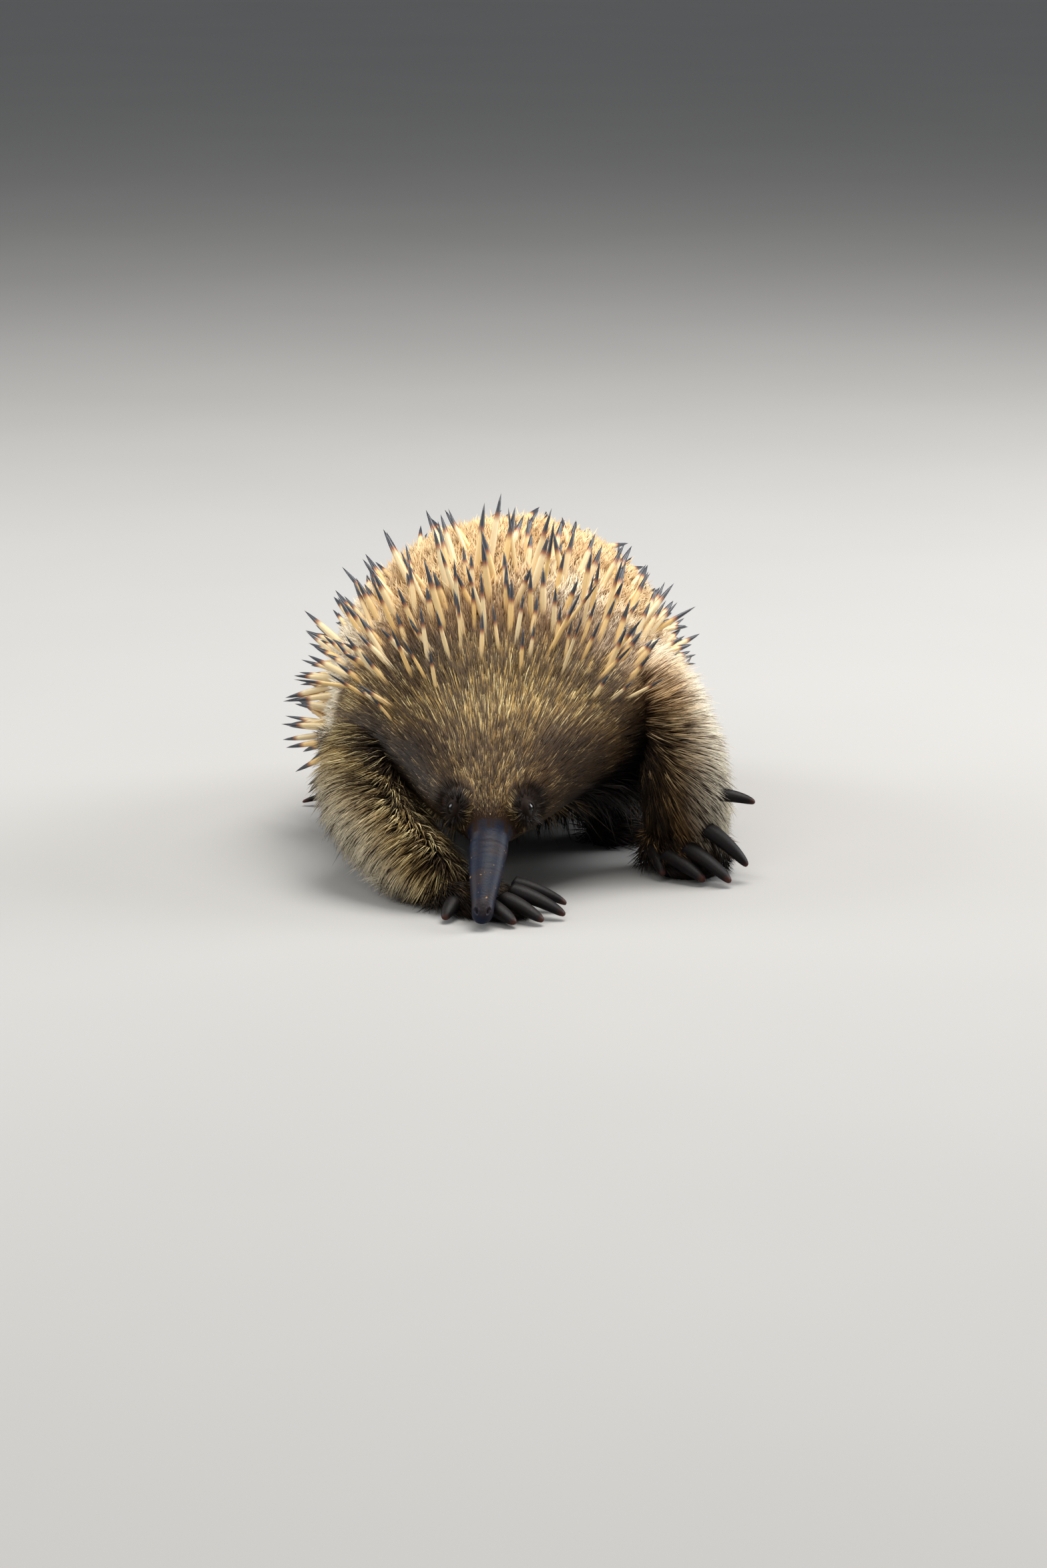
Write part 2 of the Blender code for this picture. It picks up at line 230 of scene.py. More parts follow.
class Sheet:
    """A closed skin surface kept as a grid: rows run along it, columns round it, ends are poles."""

    def __init__(self, points):
        if self.volume(points) < 0:
            points = points[:, ::-1]
        self.points = points
        along = np.gradient(points, axis=0)
        around = np.roll(points, -1, axis=1) - np.roll(points, 1, axis=1)
        self.along = unit(along)
        self.normals = unit(np.cross(along, around))
        for end, inner in ((0, 1), (-1, -2)):
            self.normals[end] = unit(self.normals[inner].mean(axis=0))
        next_row = points[1:]
        next_column = np.roll(points, -1, axis=1)[:-1]
        self.area = np.linalg.norm(np.cross(next_row - points[:-1], next_column - points[:-1]), axis=2)

    @staticmethod
    def volume(points):
        """Six times the enclosed volume: the sum of p . (along x around) over the grid."""
        along = np.gradient(points, axis=0)
        around = np.roll(points, -1, axis=1) - np.roll(points, 1, axis=1)
        return np.sum((points - points.mean(axis=(0, 1))) * np.cross(along, around))

    def pick(self, field, rows, columns):
        """Values of a grid field at fractional rows and columns, blended between four corners."""
        r, c = rows.astype(int), columns.astype(int)
        u, v = rows - r, columns - c
        if field.ndim == 3:
            u, v = u[:, None], v[:, None]
        c2 = (c + 1) % field.shape[1]
        c = c % field.shape[1]
        return (
            (field[r, c] * (1 - v) + field[r, c2] * v) * (1 - u)
            + (field[r + 1, c] * (1 - v) + field[r + 1, c2] * v) * u
        )

    def scatter(self, count, density, rng):
        """Fractional rows and columns of roots, evenly spread over area times density.

        Root i takes the share (i + 0.5) / count of the summed rows, and within its row the share
        i times the golden ratio of the summed columns, each loosened by a random jitter."""
        weight = self.area * density[:-1]
        row_sums = np.concatenate([[0.0], np.cumsum(weight.sum(axis=1))])
        order = np.arange(count) + 0.5 + rng.uniform(-0.5, 0.5, count)
        share = (order / count) * row_sums[-1] * 0.999999
        row = np.clip(np.searchsorted(row_sums, share, side="right") - 1, 0, len(weight) - 1)
        row_part = (share - row_sums[row]) / np.maximum(row_sums[row + 1] - row_sums[row], 1e-12)
        columns = np.cumsum(weight, axis=1)
        columns = columns / np.maximum(columns[:, -1:], 1e-12)
        spread = rng.uniform(-0.5, 0.5, count) * 0.02
        target = (np.arange(count) * GOLDEN + spread) % 1.0
        flat = (columns + np.arange(len(weight))[:, None]).ravel()
        found = np.searchsorted(flat, row + np.clip(target, 1e-6, 1 - 1e-6))
        column = np.clip(found - row * weight.shape[1], 0, weight.shape[1] - 1)
        return row + row_part, column + rng.uniform(0, 1, count)


def grid_faces(rows, columns):
    """Quads and pole triangles of a grid whose first and last rows are single points.

    Ring r, column c is point 1 + r * columns + c, and each face runs along, then round."""
    ring = np.arange(rows - 3)[:, None]
    c = np.arange(columns)[None, :]
    c2 = (c + 1) % columns
    quads = np.stack([
        1 + ring * columns + c,
        1 + (ring + 1) * columns + c,
        1 + (ring + 1) * columns + c2,
        1 + ring * columns + c2,
    ], axis=-1).reshape(-1, 4)
    c, c2 = c[0], c2[0]
    last = 1 + (rows - 3) * columns
    tip = last + columns
    first_fan = np.stack([np.zeros_like(c), 1 + c, 1 + c2], axis=-1)
    last_fan = np.stack([last + c, np.full_like(c, tip), last + c2], axis=-1)
    return quads, np.concatenate([first_fan, last_fan])


def set_fields(mesh, fields):
    """Named values at the points of a mesh, which the materials read."""
    for name, values in fields.items():
        attribute = mesh.attributes.new(name, "FLOAT", "POINT")
        attribute.data.foreach_set("value", values.astype(np.float32))


def close_ends(points):
    """Draws the first and last rows of a grid to single points."""
    points[0] = points[0].mean(axis=0)
    points[-1] = points[-1].mean(axis=0)
    return points


def mesh_piece(name, points, face_groups, fields=None, uv=None, smooth_shading=True):
    """A mesh object from points in own millimetres and groups of faces, each an (n, k) array."""
    mesh = bpy.data.meshes.new(name)
    mesh.vertices.add(len(points))
    mesh.vertices.foreach_set("co", placed(points).astype(np.float32).ravel())
    corners = np.concatenate([group.ravel() for group in face_groups])
    sizes = np.concatenate([np.full(len(group), group.shape[1]) for group in face_groups])
    mesh.loops.add(len(corners))
    mesh.loops.foreach_set("vertex_index", corners.astype(np.int32))
    mesh.polygons.add(len(sizes))
    starts = np.concatenate([[0], np.cumsum(sizes)[:-1]])
    mesh.polygons.foreach_set("loop_start", starts.astype(np.int32))
    mesh.polygons.foreach_set("use_smooth", np.full(len(sizes), smooth_shading))
    mesh.update(calc_edges=True)
    if uv is not None:
        layer = mesh.uv_layers.new(name="OFBake")
        layer.uv.foreach_set("vector", uv[corners].astype(np.float32).ravel())
    set_fields(mesh, fields or {})
    obj = bpy.data.objects.new(name, mesh)
    bpy.context.scene.collection.objects.link(obj)
    return obj


def sheet_piece(name, sheet):
    """A sheet as a closed mesh, its end rows merged into single poles."""
    points = sheet.points
    body = points[1:-1].reshape(-1, 3)
    points = np.concatenate([points[:1].mean(axis=1), body, points[-1:].mean(axis=1)])
    return mesh_piece(name, points, grid_faces(*sheet.points.shape[:2]))


# Skin of the body

def body_frame(places):
    """Middle, up direction, height above and below, half width and coat depths at each place."""
    rows = curve_through(KNOTS, SECTIONS, places)
    back = rows[:, (0, 1, 2)]
    belly = rows[:, (0, 3, 4)]
    middle = section_middles(rows)
    round_tip = np.ones(len(places))
    for reach, depth in ((places, BILL_TIP_ROUNDING), (BODY_END - places, TAIL_TIP_ROUNDING)):
        share = np.clip(reach / depth, 0.0, 1.0)
        round_tip *= np.sqrt(1.0 - (1.0 - share) ** 2)
    return {
        "middle": middle,
        "up": unit(back - belly),
        "above": np.linalg.norm(back - middle, axis=1) * round_tip,
        "below": np.linalg.norm(middle - belly, axis=1) * round_tip,
        "half": rows[:, 5] * round_tip,
        "depth_back": np.maximum(rows[:, 7], 0.0),
        "depth_belly": np.maximum(rows[:, 8], 0.0),
        "round_tip": round_tip,
    }


def body_places():
    """Places of the skin's rows: a rounded tip, fine on bill and face, coarser behind."""
    tip = BILL_TIP_ROUNDING * (1 - np.cos(np.linspace(0, math.pi / 2, 15)[:-1]))
    tail = BODY_END - TAIL_TIP_ROUNDING * (1 - np.cos(np.linspace(math.pi / 2, 0, 9)[1:]))
    return np.concatenate([
        tip,
        np.arange(BILL_TIP_ROUNDING, 14.0, 0.35),
        np.arange(14.0, 60.0, 0.6),
        np.arange(60.0, 100.0, 1.1),
        np.linspace(100.0, BODY_END - TAIL_TIP_ROUNDING, 72),
        tail,
    ])


WRINKLES = (
    (27.5, 0.5, 0.30), (31.4, 2.1, 0.35), (35.0, 4.0, 0.55), (37.6, 1.2, 0.40), (40.0, 5.2, 0.75),
    (42.2, 3.0, 0.60), (44.6, 0.2, 1.00), (46.4, 2.6, 0.70), (48.4, 4.4, 0.95),
)
NOSTRIL_TURN = math.radians(36)


def bill_relief(place, turn):
    """Height added on the bill: broken creases, faint rings, two nostrils and the mouth's line.

    Each crease has a place, a side of the bill where it is deepest and a strength."""
    relief = np.zeros(np.broadcast(place, turn).shape)
    for number, (crease, side, strength) in enumerate(WRINKLES):
        wobble = 0.55 * np.sin(turn + side) + 0.3 * np.sin(turn * 3 + side * 2)
        wobble = wobble + 0.12 * np.sin(turn * 7 + number)
        reach = 0.25 + 0.75 * smooth(-0.7, 0.7, np.cos(turn - side))
        relief -= 0.24 * strength * bell(place - crease - wobble, 0.42) * reach
        relief += 0.08 * strength * bell(place - crease - wobble - 1.0, 0.6) * reach
    relief += 0.03 * np.sin(place * 3.9 + 1.7 * np.sin(turn * 3)) * np.sin(turn * 4 + place * 0.4)
    relief += 0.25 * bell(place - 7.0, 3.0)
    for side in (-1, 1):
        across = (turn - math.pi / 2 - side * NOSTRIL_TURN) * 4.4
        slant = place - 4.4 - side * 0.5 * across
        relief += 0.26 * bell(np.hypot(across, slant * 0.8) - 1.35, 0.45)
        relief -= 1.35 * bell(across, 0.65) * bell(slant, 1.15)
    for mouth_turn in (math.radians(-24), math.radians(-156)):
        away = np.angle(np.exp(1j * (turn - mouth_turn))) * 4.2
        relief -= 0.55 * bell(away, 0.30) * smooth(14, 9, place) * smooth(0.1, 0.6, place)
    return relief * smooth(0.0, 0.8, place) * smooth(60, 52, place)


def eye_seat(points):
    """Draws the skin to a low rim round each eye and into a hollow behind the eyeball."""
    for middle, axis in EYES.values():
        axis = unit(axis)
        away = points - middle
        height = dot(away, axis)
        reach = np.linalg.norm(away - height * axis, axis=-1, keepdims=True)
        near = smooth(9.0, 4.4, reach) * (height > -7.0)
        rim = 1.3 - 3.0 * smooth(3.4, 2.2, reach)
        points = points + axis * (rim - height) * near
    return points


def body_sheet():
    """The skin of head, trunk and tail: middle + X cos(turn) half + up sin(turn) height."""
    places = body_places()
    f = body_frame(places)
    place = places[:, None]
    turn = np.linspace(0, 2 * math.pi, BODY_COLUMNS, endpoint=False)[None, :]
    sine = np.sin(turn)
    share = smooth(-0.75, 0.1, sine)
    depth = f["depth_belly"][:, None] * (1 - share) + f["depth_back"][:, None] * share
    flank = bell(sine - 0.1, 0.5) * smooth(125, 165, place) * smooth(350, 290, place)
    depth = (depth + FLANK_DEPTH * flank) * f["round_tip"][:, None]
    grow = bill_relief(place, turn) - depth
    brow = bell(place - BROW_PLACE, 7) * sum(bell(turn - middle, 0.3) for middle in BROW_TURNS)
    grow = grow + BROW_HEIGHT * brow
    height = np.where(sine > 0, f["above"][:, None], f["below"][:, None]) + grow
    aside = f["half"][:, None] + grow
    points = (
        f["middle"][:, None, :]
        + ACROSS * (np.cos(turn) * aside)[..., None]
        + f["up"][:, None, :] * (sine * height)[..., None]
    )
    sheet = Sheet(eye_seat(close_ends(points)))
    sheet.place = np.broadcast_to(place, points.shape[:2])
    sheet.turn = np.broadcast_to(turn, points.shape[:2])
    return sheet


# Skin of the limbs and feet

def limb_middles(rows, places):
    """Middle and radius of a limb at shares of its length."""
    knots = run_lengths(rows[:, :3])
    return curve_through(knots, rows, places * knots[-1])


def limb_sheet(rows):
    """Round rings square to a limb's line, with both ends drawn to a point over one radius."""
    places = np.linspace(0, 1, LIMB_ROWS)
    table = limb_middles(rows, places)
    middle = table[:, :3]
    depth = LIMB_DEPTH_TOP + (LIMB_DEPTH_END - LIMB_DEPTH_TOP) * smooth(0.45, 1.0, places)
    rounding = np.sin(np.clip(np.minimum(places, 1 - places) * 12, 0, 1) * math.pi / 2)
    radius = (table[:, 3] - depth) * rounding
    ahead = unit(np.gradient(middle, axis=0))
    side = unit(ACROSS - ahead * ahead[:, :1])
    across = np.cross(side, ahead)
    turn = np.linspace(0, 2 * math.pi, LIMB_COLUMNS, endpoint=False)[None, :, None]
    ring = side[:, None] * np.cos(turn) + across[:, None] * np.sin(turn)
    points = middle[:, None] + ring * radius[:, None, None]
    points[..., 2] = np.maximum(points[..., 2], 1.0)
    sheet = Sheet(points)
    sheet.place = np.broadcast_to(places[:, None], points.shape[:2])
    return sheet


def foot_sheet(heel, toes, half_width, heel_height, toe_height, tilt):
    """Domed rings square to the foot's length, cut flat by the floor at z = 0."""
    heel, toes = np.array([*heel, 0.0]), np.array([*toes, 0.0])
    ahead = unit(toes - heel)
    side = np.array([-ahead[1], ahead[0], 0.0])
    side = side if side[0] > 0 else -side
    turn = np.linspace(0, math.pi, FOOT_ROWS)
    along = (0.5 - 0.5 * np.cos(turn))[:, None]
    share = (np.sin(turn) ** 0.6)[:, None]
    angle = np.linspace(0, 2 * math.pi, FOOT_COLUMNS, endpoint=False)[None, :]
    height = heel_height + (toe_height - heel_height) * along - FOOT_DEPTH
    out = np.cos(angle) * share
    rise = height * (1 + tilt * out) * (0.36 + 0.64 * np.sin(angle) * share)
    points = (
        heel + (toes - heel) * along[..., None]
        + side * (out * (half_width - FOOT_DEPTH * 0.6))[..., None]
        + UPWARD * np.maximum(rise, 0.0)[..., None]
    )
    sheet = Sheet(points)
    sheet.place = np.broadcast_to(along, points.shape[:2])
    return sheet


def eye_axes(axis):
    """The direction an eye looks in, with a level and an upright one square to it."""
    axis = unit(axis)
    level = unit(np.cross(UPWARD, axis))
    return axis, level, np.cross(axis, level)


def lid_points(middle, axis):
    """A ring of lid round an eye: polar angle from the axis and radius trace a closed loop.

    The outer wall swells from the rim to the cheek, the inner wall follows the eyeball."""
    axis, level, upright = eye_axes(axis)
    round_eye = np.linspace(0, 2 * math.pi, 72, endpoint=False)[None, :]
    loop = np.linspace(0, 2 * math.pi, 24, endpoint=False)[:, None]
    rim = np.radians(LID_OPENING - 5 * np.cos(2 * round_eye) - 5 * np.sin(round_eye))
    rim = rim - 0.03 * np.sin(round_eye * 9) * bell(loop - math.pi, 2.0)
    polar = (LID_EDGE + rim) / 2 + (LID_EDGE - rim) / 2 * np.cos(loop)
    swell = 0.55 + 0.16 * np.cos(loop * 3 + 0.4)
    radius = EYE_RADIUS + 0.03 + np.where(np.sin(loop) > 0, swell, 0.0) * np.abs(np.sin(loop)) ** 0.6
    flat = np.sin(polar) * radius
    return (
        middle
        + level * (flat * np.cos(round_eye))[..., None]
        + upright * (flat * np.sin(round_eye))[..., None]
        + axis * (np.cos(polar) * radius)[..., None]
    )


def ring_piece(name, points):
    """A mesh that closes on itself both ways, turned so that its faces point outwards."""
    rows, columns = points.shape[:2]
    r = np.arange(rows)[:, None]
    c = np.arange(columns)[None, :]
    r2, c2 = (r + 1) % rows, (c + 1) % columns
    quads = np.stack([r * columns + c, r2 * columns + c, r2 * columns + c2, r * columns + c2], axis=-1)
    quads = quads.reshape(-1, 4)
    flat = points.reshape(-1, 3)
    centred = flat - flat.mean(axis=0)
    a, b, d = (centred[quads[:, k]] for k in (0, 1, 2))
    if np.sum(a * np.cross(b, d)) < 0:
        quads = quads[:, ::-1]
    return mesh_piece(name, flat, [quads])


def joined_skin(sheets):
    """All flesh as one closed mesh: the body with limbs, feet and lids united into it."""
    skin = sheet_piece("skin", sheets["body"])
    parts = [sheet_piece(name + "_part", sheet) for name, sheet in sheets.items() if name != "body"]
    parts += [ring_piece("lid_" + side, lid_points(*eye)) for side, eye in EYES.items()]
    for part in parts:
        union = skin.modifiers.new("join_" + part.name, "BOOLEAN")
        union.operation = "UNION"
        union.solver = "EXACT"
        union.object = part
    graph = bpy.context.evaluated_depsgraph_get()
    mesh = bpy.data.meshes.new_from_object(skin.evaluated_get(graph))
    skin.modifiers.clear()
    skin.data = mesh
    for part in parts:
        bpy.data.objects.remove(part, do_unlink=True)
    mesh.shade_smooth()
    points = np.empty(len(mesh.vertices) * 3, np.float32)
    mesh.vertices.foreach_get("co", points)
    set_fields(mesh, markings(points.reshape(-1, 3) / MM + MIDDLE))
    return skin


# Where points lie on the animal, and the markings of skin and coat, painted highlight and painted shade
# among them

def body_reach(points):
    """The place along the body of each point, and its distance out in half sections (1 = coat)."""
    places = np.linspace(2.0, BODY_END - 2.0, 90)
    f = body_frame(places)
    ahead = np.cross(f["up"], ACROSS)
    ahead = ahead * np.sign(ahead[:, 1:2])
    away = np.einsum("ij,kj->ik", points, ahead) - np.sum(f["middle"] * ahead, axis=1)
    nearest = np.argmin(np.abs(away), axis=1)
    offset = points - f["middle"][nearest]
    rise = np.sum(offset * f["up"][nearest], axis=1)
    height = np.where(rise > 0, f["above"][nearest], f["below"][nearest])
    return places[nearest], np.hypot(offset[:, 0] / f["half"][nearest], rise / height)


def limb_reach(points, rows):
    """Distance of each point from a limb's line, in units of the limb's radius there."""
    table = limb_middles(rows, np.linspace(0, 1, 30))
    away = np.linalg.norm(points[:, None] - table[None, :, :3], axis=2) / table[:, 3]
    return away.min(axis=1)


def limb_share(points, name, near, far):
    """1 at a limb's line and 0 away from it, falling from near to far in units of its radius."""
    return smooth(far, near, limb_reach(points, LIMBS[name]))


def spots(points, rows):
    """Soft round marks: strength * exp(-(distance / width)^2) from each middle."""
    return [
        strength * bell(np.linalg.norm(points - np.array(middle), axis=1), width)
        for middle, width, strength in rows
    ]


# Soft round marks of the coat: middle, width and strength. The first two pale marks are painted highlight
# over the top of the left shoulder, the other three are the pale stripes low on the cheeks; the dark marks
# are painted shade.
PALE_AND_HIGHLIGHT_SPOTS = (
    ((26, 140, 128), 22, 0.9), ((50, 136, 102), 20, 0.8), ((-25, 58, 35), 6, 0.5),
    ((-37, 72, 42), 9, 0.5), ((8, 62, 35), 6, 0.5),
)
# Painted shade: dark marks in the hollows between the forelimbs and the head, and high on the right of the
# neck, where shade falls.
SHADE_SPOTS = (((44, 112, 56), 24, 1.0), ((-38, 88, 46), 18, 0.75), ((-44, 112, 92), 20, 0.6))


def eye_marks(points):
    """The dark skin round each eye, drawn out towards its back corner."""
    marks = []
    for middle, axis in EYES.values():
        back_edge = middle + np.array([np.sign(axis[0]) * 3.0, 3.5, 1.5])
        ring, corner = spots(points, ((middle, 7.0, 1.3), (back_edge, 7.5, 0.9)))
        marks += [np.minimum(ring, 1.0), corner]
    return marks


def markings(points):
    """Shares of pale, dark, gold, woolly and bare skin at each point, from its place. Pale and gold hold
    painted highlight as well as pale and golden hair, and dark holds painted shade as well as dark hair.
    """
    x, y, z = points.T
    place, out = body_reach(points)
    fore_right = limb_share(points, "fore_leg_right", 0.85, 1.25)
    fore_left = limb_share(points, "fore_leg_left", 0.85, 1.25)
    limb = np.maximum(fore_right, fore_left)
    hind = np.maximum(
        limb_share(points, "hind_leg_right", 0.9, 1.3), limb_share(points, "hind_leg_left", 0.9, 1.3)
    )
    on_body = smooth(1.6, 1.2, out)
    face = smooth(80, 62, z) * smooth(118, 96, place)
    from_bill = np.abs(x + 12)
    inward_right = x + 0.8 * z + 34
    outward_left = x + 0.25 * (z - 60)

    # Gold: the ochre hair of the head, partly painted highlight, lightest on top; it fades down the sides
    # of the head and over the lower face as painted shade over browner hair. Golden hair on the right
    # forelimb comes last.
    gold_and_highlight = smooth(142, 112, place) * (1 - 0.75 * fore_left) * on_body
    gold_and_highlight = gold_and_highlight * (1 - 0.6 * smooth(36, 62, np.abs(x + 11)))
    gold_and_highlight = gold_and_highlight * (1 - face * (0.5 + 0.2 * smooth(10, 28, from_bill)))
    gold_and_highlight = np.maximum(gold_and_highlight, 0.85 * fore_right * smooth(8, 20, z))

    # Pale: cream hair tips on the flanks and along the outer edges of both forelimbs, partly painted rim
    # light on these edges, then the soft pale marks.
    pale_and_highlight = smooth(50, 85, np.abs(x)) * smooth(20, 55, z) * smooth(260, 200, y) * 0.8
    pale_and_highlight = np.maximum(pale_and_highlight * (1 - fore_left), fore_left * smooth(63, 80, outward_left))
    pale_and_highlight = np.maximum(pale_and_highlight * (1 - fore_right), 0.85 * fore_right * smooth(14, -10, inward_right))
    pale_and_highlight = np.maximum.reduce([pale_and_highlight, *spots(points, PALE_AND_HIGHLIGHT_SPOTS)])

    # Below a line under the throat the underside turns dark: partly the dark hair of chest and belly,
    # partly painted shade under the head and body.
    throat = 26 + 0.58 * np.minimum(np.abs(x + 12.5), 55)
    under_shade = 0.96 * smooth(throat + 4, throat - 6, z) * smooth(62, 74, y) * (1 - limb)
    dark_and_shade = np.maximum.reduce([
        under_shade * np.maximum(smooth(150, 120, y), smooth(98, 60, np.abs(x))),
        # The inner sides of the forelimbs: partly dark hair, partly painted shade between limb and body.
        0.8 * fore_left * smooth(74, 58, outward_left) * smooth(85, 62, z),
        0.75 * fore_right * smooth(2, 22, inward_right) * smooth(85, 60, z),
        0.85 * smooth(20, 10, z) * smooth(76, 56, y),
        0.7 * smooth(30, 16, z) * smooth(58, 64, x) * smooth(128, 108, y),
        0.7 * hind * smooth(75, 50, z),
        0.4 * smooth(58, 52, place) * smooth(1.4, 1.1, out),
        # Painted shade over partly browner hair: the lower face darker, most on the cheeks away from the
        # bill.
        0.25 * face * on_body,
        0.65 * face * on_body * smooth(6, 28, from_bill),
        # Painted shade in the hollows by the forelimbs and on the neck.
        *spots(points, SHADE_SPOTS),
        *eye_marks(points),
    ])

    wave = 1.4 * np.sin(x * 0.9) + 0.8 * np.sin(x * 2.3 + 1.0)
    bare = smooth(FUR_LINE + 5.0, FUR_LINE + 2.0, place + wave) * smooth(1.5, 1.25, out)
    wool = np.maximum(smooth(118, 150, place) * on_body, limb)
    wool = wool * smooth(35, 75, z) * (1 - gold_and_highlight)
    return {"pale_and_highlight": pale_and_highlight, "dark_and_shade": dark_and_shade, "gold_and_highlight": gold_and_highlight, "wool": wool, "bare": bare}


# Strands: hairs, wool and spines as closed tapering tubes

def strand_faces(count, rings, sides):
    """Triangles of many alike strands: a root cap, bands between the rings and a cone to the tip."""
    k = np.arange(sides)
    k2 = (k + 1) % sides
    cap = np.stack([np.zeros(sides - 2, int), k[1:-1], k[2:]], axis=-1)
    faces = [cap]
    for ring in range(rings - 1):
        a, b = ring * sides + k, ring * sides + k2
        faces += [np.stack([a, a + sides, b + sides], axis=-1), np.stack([a, b + sides, b], axis=-1)]
    last = (rings - 1) * sides
    faces.append(np.stack([last + k, np.full(sides, rings * sides), last + k2], axis=-1))
    one = np.concatenate(faces)
    start = np.arange(count) * (rings * sides + 1)
    return (one[None] + start[:, None, None]).reshape(-1, 3)


def strand_points(strands, sides):
    """Rings of points square to each path: middle + radius (side cos(turn) + lift sin(turn))."""
    paths = strands["paths"]
    rings = paths.shape[1] - 1
    ahead = unit(np.gradient(paths, axis=1))
    side = unit(np.cross(ahead, strands["normal"][:, None, :]))
    lift = np.cross(side, ahead)
    turn = (2 * math.pi * np.arange(sides) / sides)[None, None, :, None]
    circle = side[:, :rings, None] * np.cos(turn) + lift[:, :rings, None] * np.sin(turn)
    points = paths[:, :rings, None] + circle * strands["radii"][:, :, None, None]
    count = len(paths)
    points = np.concatenate([points.reshape(count, rings * sides, 3), paths[:, rings:]], axis=1)
    points[..., 2] = np.maximum(points[..., 2], LOWEST_HAIR)
    return points.reshape(-1, 3)


def strand_fields(strands, sides):
    """The share of the length at each point, with each strand's tone and markings."""
    count, rings = strands["radii"].shape
    each = rings * sides + 1
    along = np.concatenate([np.repeat(strands["shares"][:rings], sides), [1.0]])
    fields = {name: np.repeat(values, each) for name, values in strands["marks"].items()}
    fields["tone"] = np.repeat(strands["tone"], each)
    fields["along"] = np.tile(along, count)
    return fields


def strand_uv(strands, sides, patch):
    """A small patch at each root's place: across it by the turn, up it by the share of length."""
    count, rings = strands["radii"].shape
    turn = 2 * math.pi * np.arange(sides) / sides
    across = np.concatenate([np.tile(0.5 + 0.5 * np.cos(turn), rings), [0.5]])
    along = np.concatenate([np.repeat(strands["shares"][:rings], sides), [1.0]])
    offset = np.stack([across * patch[0], along * patch[1]], axis=-1)
    low = strands["uv"][:, None, :] * (1.0 - np.array(patch))
    return (low + offset[None]).reshape(-1, 2)


def coat_piece(name, growths, material, sides=3, patch=(PATCH, PATCH)):
    """Strands of one or more growths in one mesh that rides on the body."""
    points, faces, uvs, fields = [], [], [], []
    start = 0
    for strands in growths:
        count, rings = strands["radii"].shape
        points.append(strand_points(strands, sides))
        faces.append(strand_faces(count, rings, sides) + start)
        uvs.append(strand_uv(strands, sides, patch))
        fields.append(strand_fields(strands, sides))
        start += len(points[-1])
    merged = {key: np.concatenate([part[key] for part in fields]) for key in fields[0]}
    piece = mesh_piece(name, np.concatenate(points), [np.concatenate(faces)], merged,
                       np.concatenate(uvs))
    piece.data.materials.append(material)
    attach(piece, "root")


def in_clumps(values, roots, size):
    """The mean of values over all strands whose warped root falls in the same cube of a lattice."""
    warp = roots + 0.45 * size * np.sin(roots[:, (1, 2, 0)] * (2.1 / size) + 1.3)
    cell = np.floor(warp / size).astype(np.int64)
    key = (cell[:, 0] * 4001 + cell[:, 1]) * 4001 + cell[:, 2]
    _, which, size_of = np.unique(key, return_inverse=True, return_counts=True)
    which = which.ravel()
    mean = np.stack([np.bincount(which, column) for column in values.T], axis=-1)
    return mean[which] / size_of[which][:, None], which


def grow(sheet, count, density, style, rng, stretch=(0.0, 1.0)):
    """Strands on a sheet. A grid field gives the density, and style gives the rest:

    length, width and lift (angle off the skin at the root) are grid fields; rise is the lift at
    the tip as a share of that at the root; spread turns a strand aside; curl waves it; clump
    draws tips together in locks of lock_size; droop pulls tips down; shares are the places of
    its rings along it and taper their widths. The UV map spans a stretch of the sheet's rows."""
    rows, columns = sheet.scatter(count, density, rng)
    root = sheet.pick(sheet.points, rows, columns)
    normal = unit(sheet.pick(sheet.normals, rows, columns))
    flow = sheet.pick(sheet.flow, rows, columns)
    length = sheet.pick(style["length"], rows, columns)
    length = length * rng.normal(1.0, style["vary"], count).clip(0.5, 1.4)
    lift = sheet.pick(style["lift"], rows, columns)
    lift = lift * rng.normal(1.0, style["unruly"], count).clip(0.3, 2.2)
    width = sheet.pick(style["width"], rows, columns)
    width = width * rng.uniform(1 - style["vary"] * 1.6, 1.25, count)
    flow = unit(flow - normal * dot(flow, normal))
    side = np.cross(normal, flow)
    aside = rng.normal(0.0, style["spread"], count)[:, None]
    turned = flow * np.cos(aside) + side * np.sin(aside)
    side = side * np.cos(aside) - flow * np.sin(aside)
    shares = np.array(style["shares"])
    t = shares[None, :, None]
    angle = lift[:, None, None] * (1 + (style["rise"] - 1) * t)
    heading = turned[:, None] * np.cos(angle) + normal[:, None] * np.sin(angle)
    phase = rng.uniform(0, 2 * math.pi, count)[:, None, None]
    size = length[:, None, None]
    wave = np.sin(phase + style["waves"] * 2 * math.pi * t) - np.sin(phase)
    paths = root[:, None] - normal[:, None] * ROOT_DEPTH + heading * size * t
    paths = paths + side[:, None] * wave * size * style["curl"]
    paths = paths - UPWARD * style["droop"] * size * t**2
    tips, which = in_clumps(paths[:, -1], root, style["lock_size"])
    paths = paths + (tips - paths[:, -1])[:, None] * style["clump"] * t**1.6
    lock_tone = rng.uniform(0, 1, which.max() + 1)[which]
    tone = (1 - style["lock_tone"]) * rng.uniform(0, 1, count) + style["lock_tone"] * lock_tone
    low, high = stretch
    u = columns / sheet.points.shape[1]
    v = (rows / sheet.points.shape[0] - low) / (high - low)
    marks = markings(root)
    marks.pop("bare")
    return {
        "paths": paths,
        "radii": 0.5 * width[:, None] * np.array(style["taper"])[None],
        "normal": normal,
        "shares": shares,
        "tone": style["tone"][0] + (style["tone"][1] - style["tone"][0]) * tone,
        "marks": marks,
        "uv": np.clip(np.stack([u, v], axis=-1), 0.0, 1.0),
    }


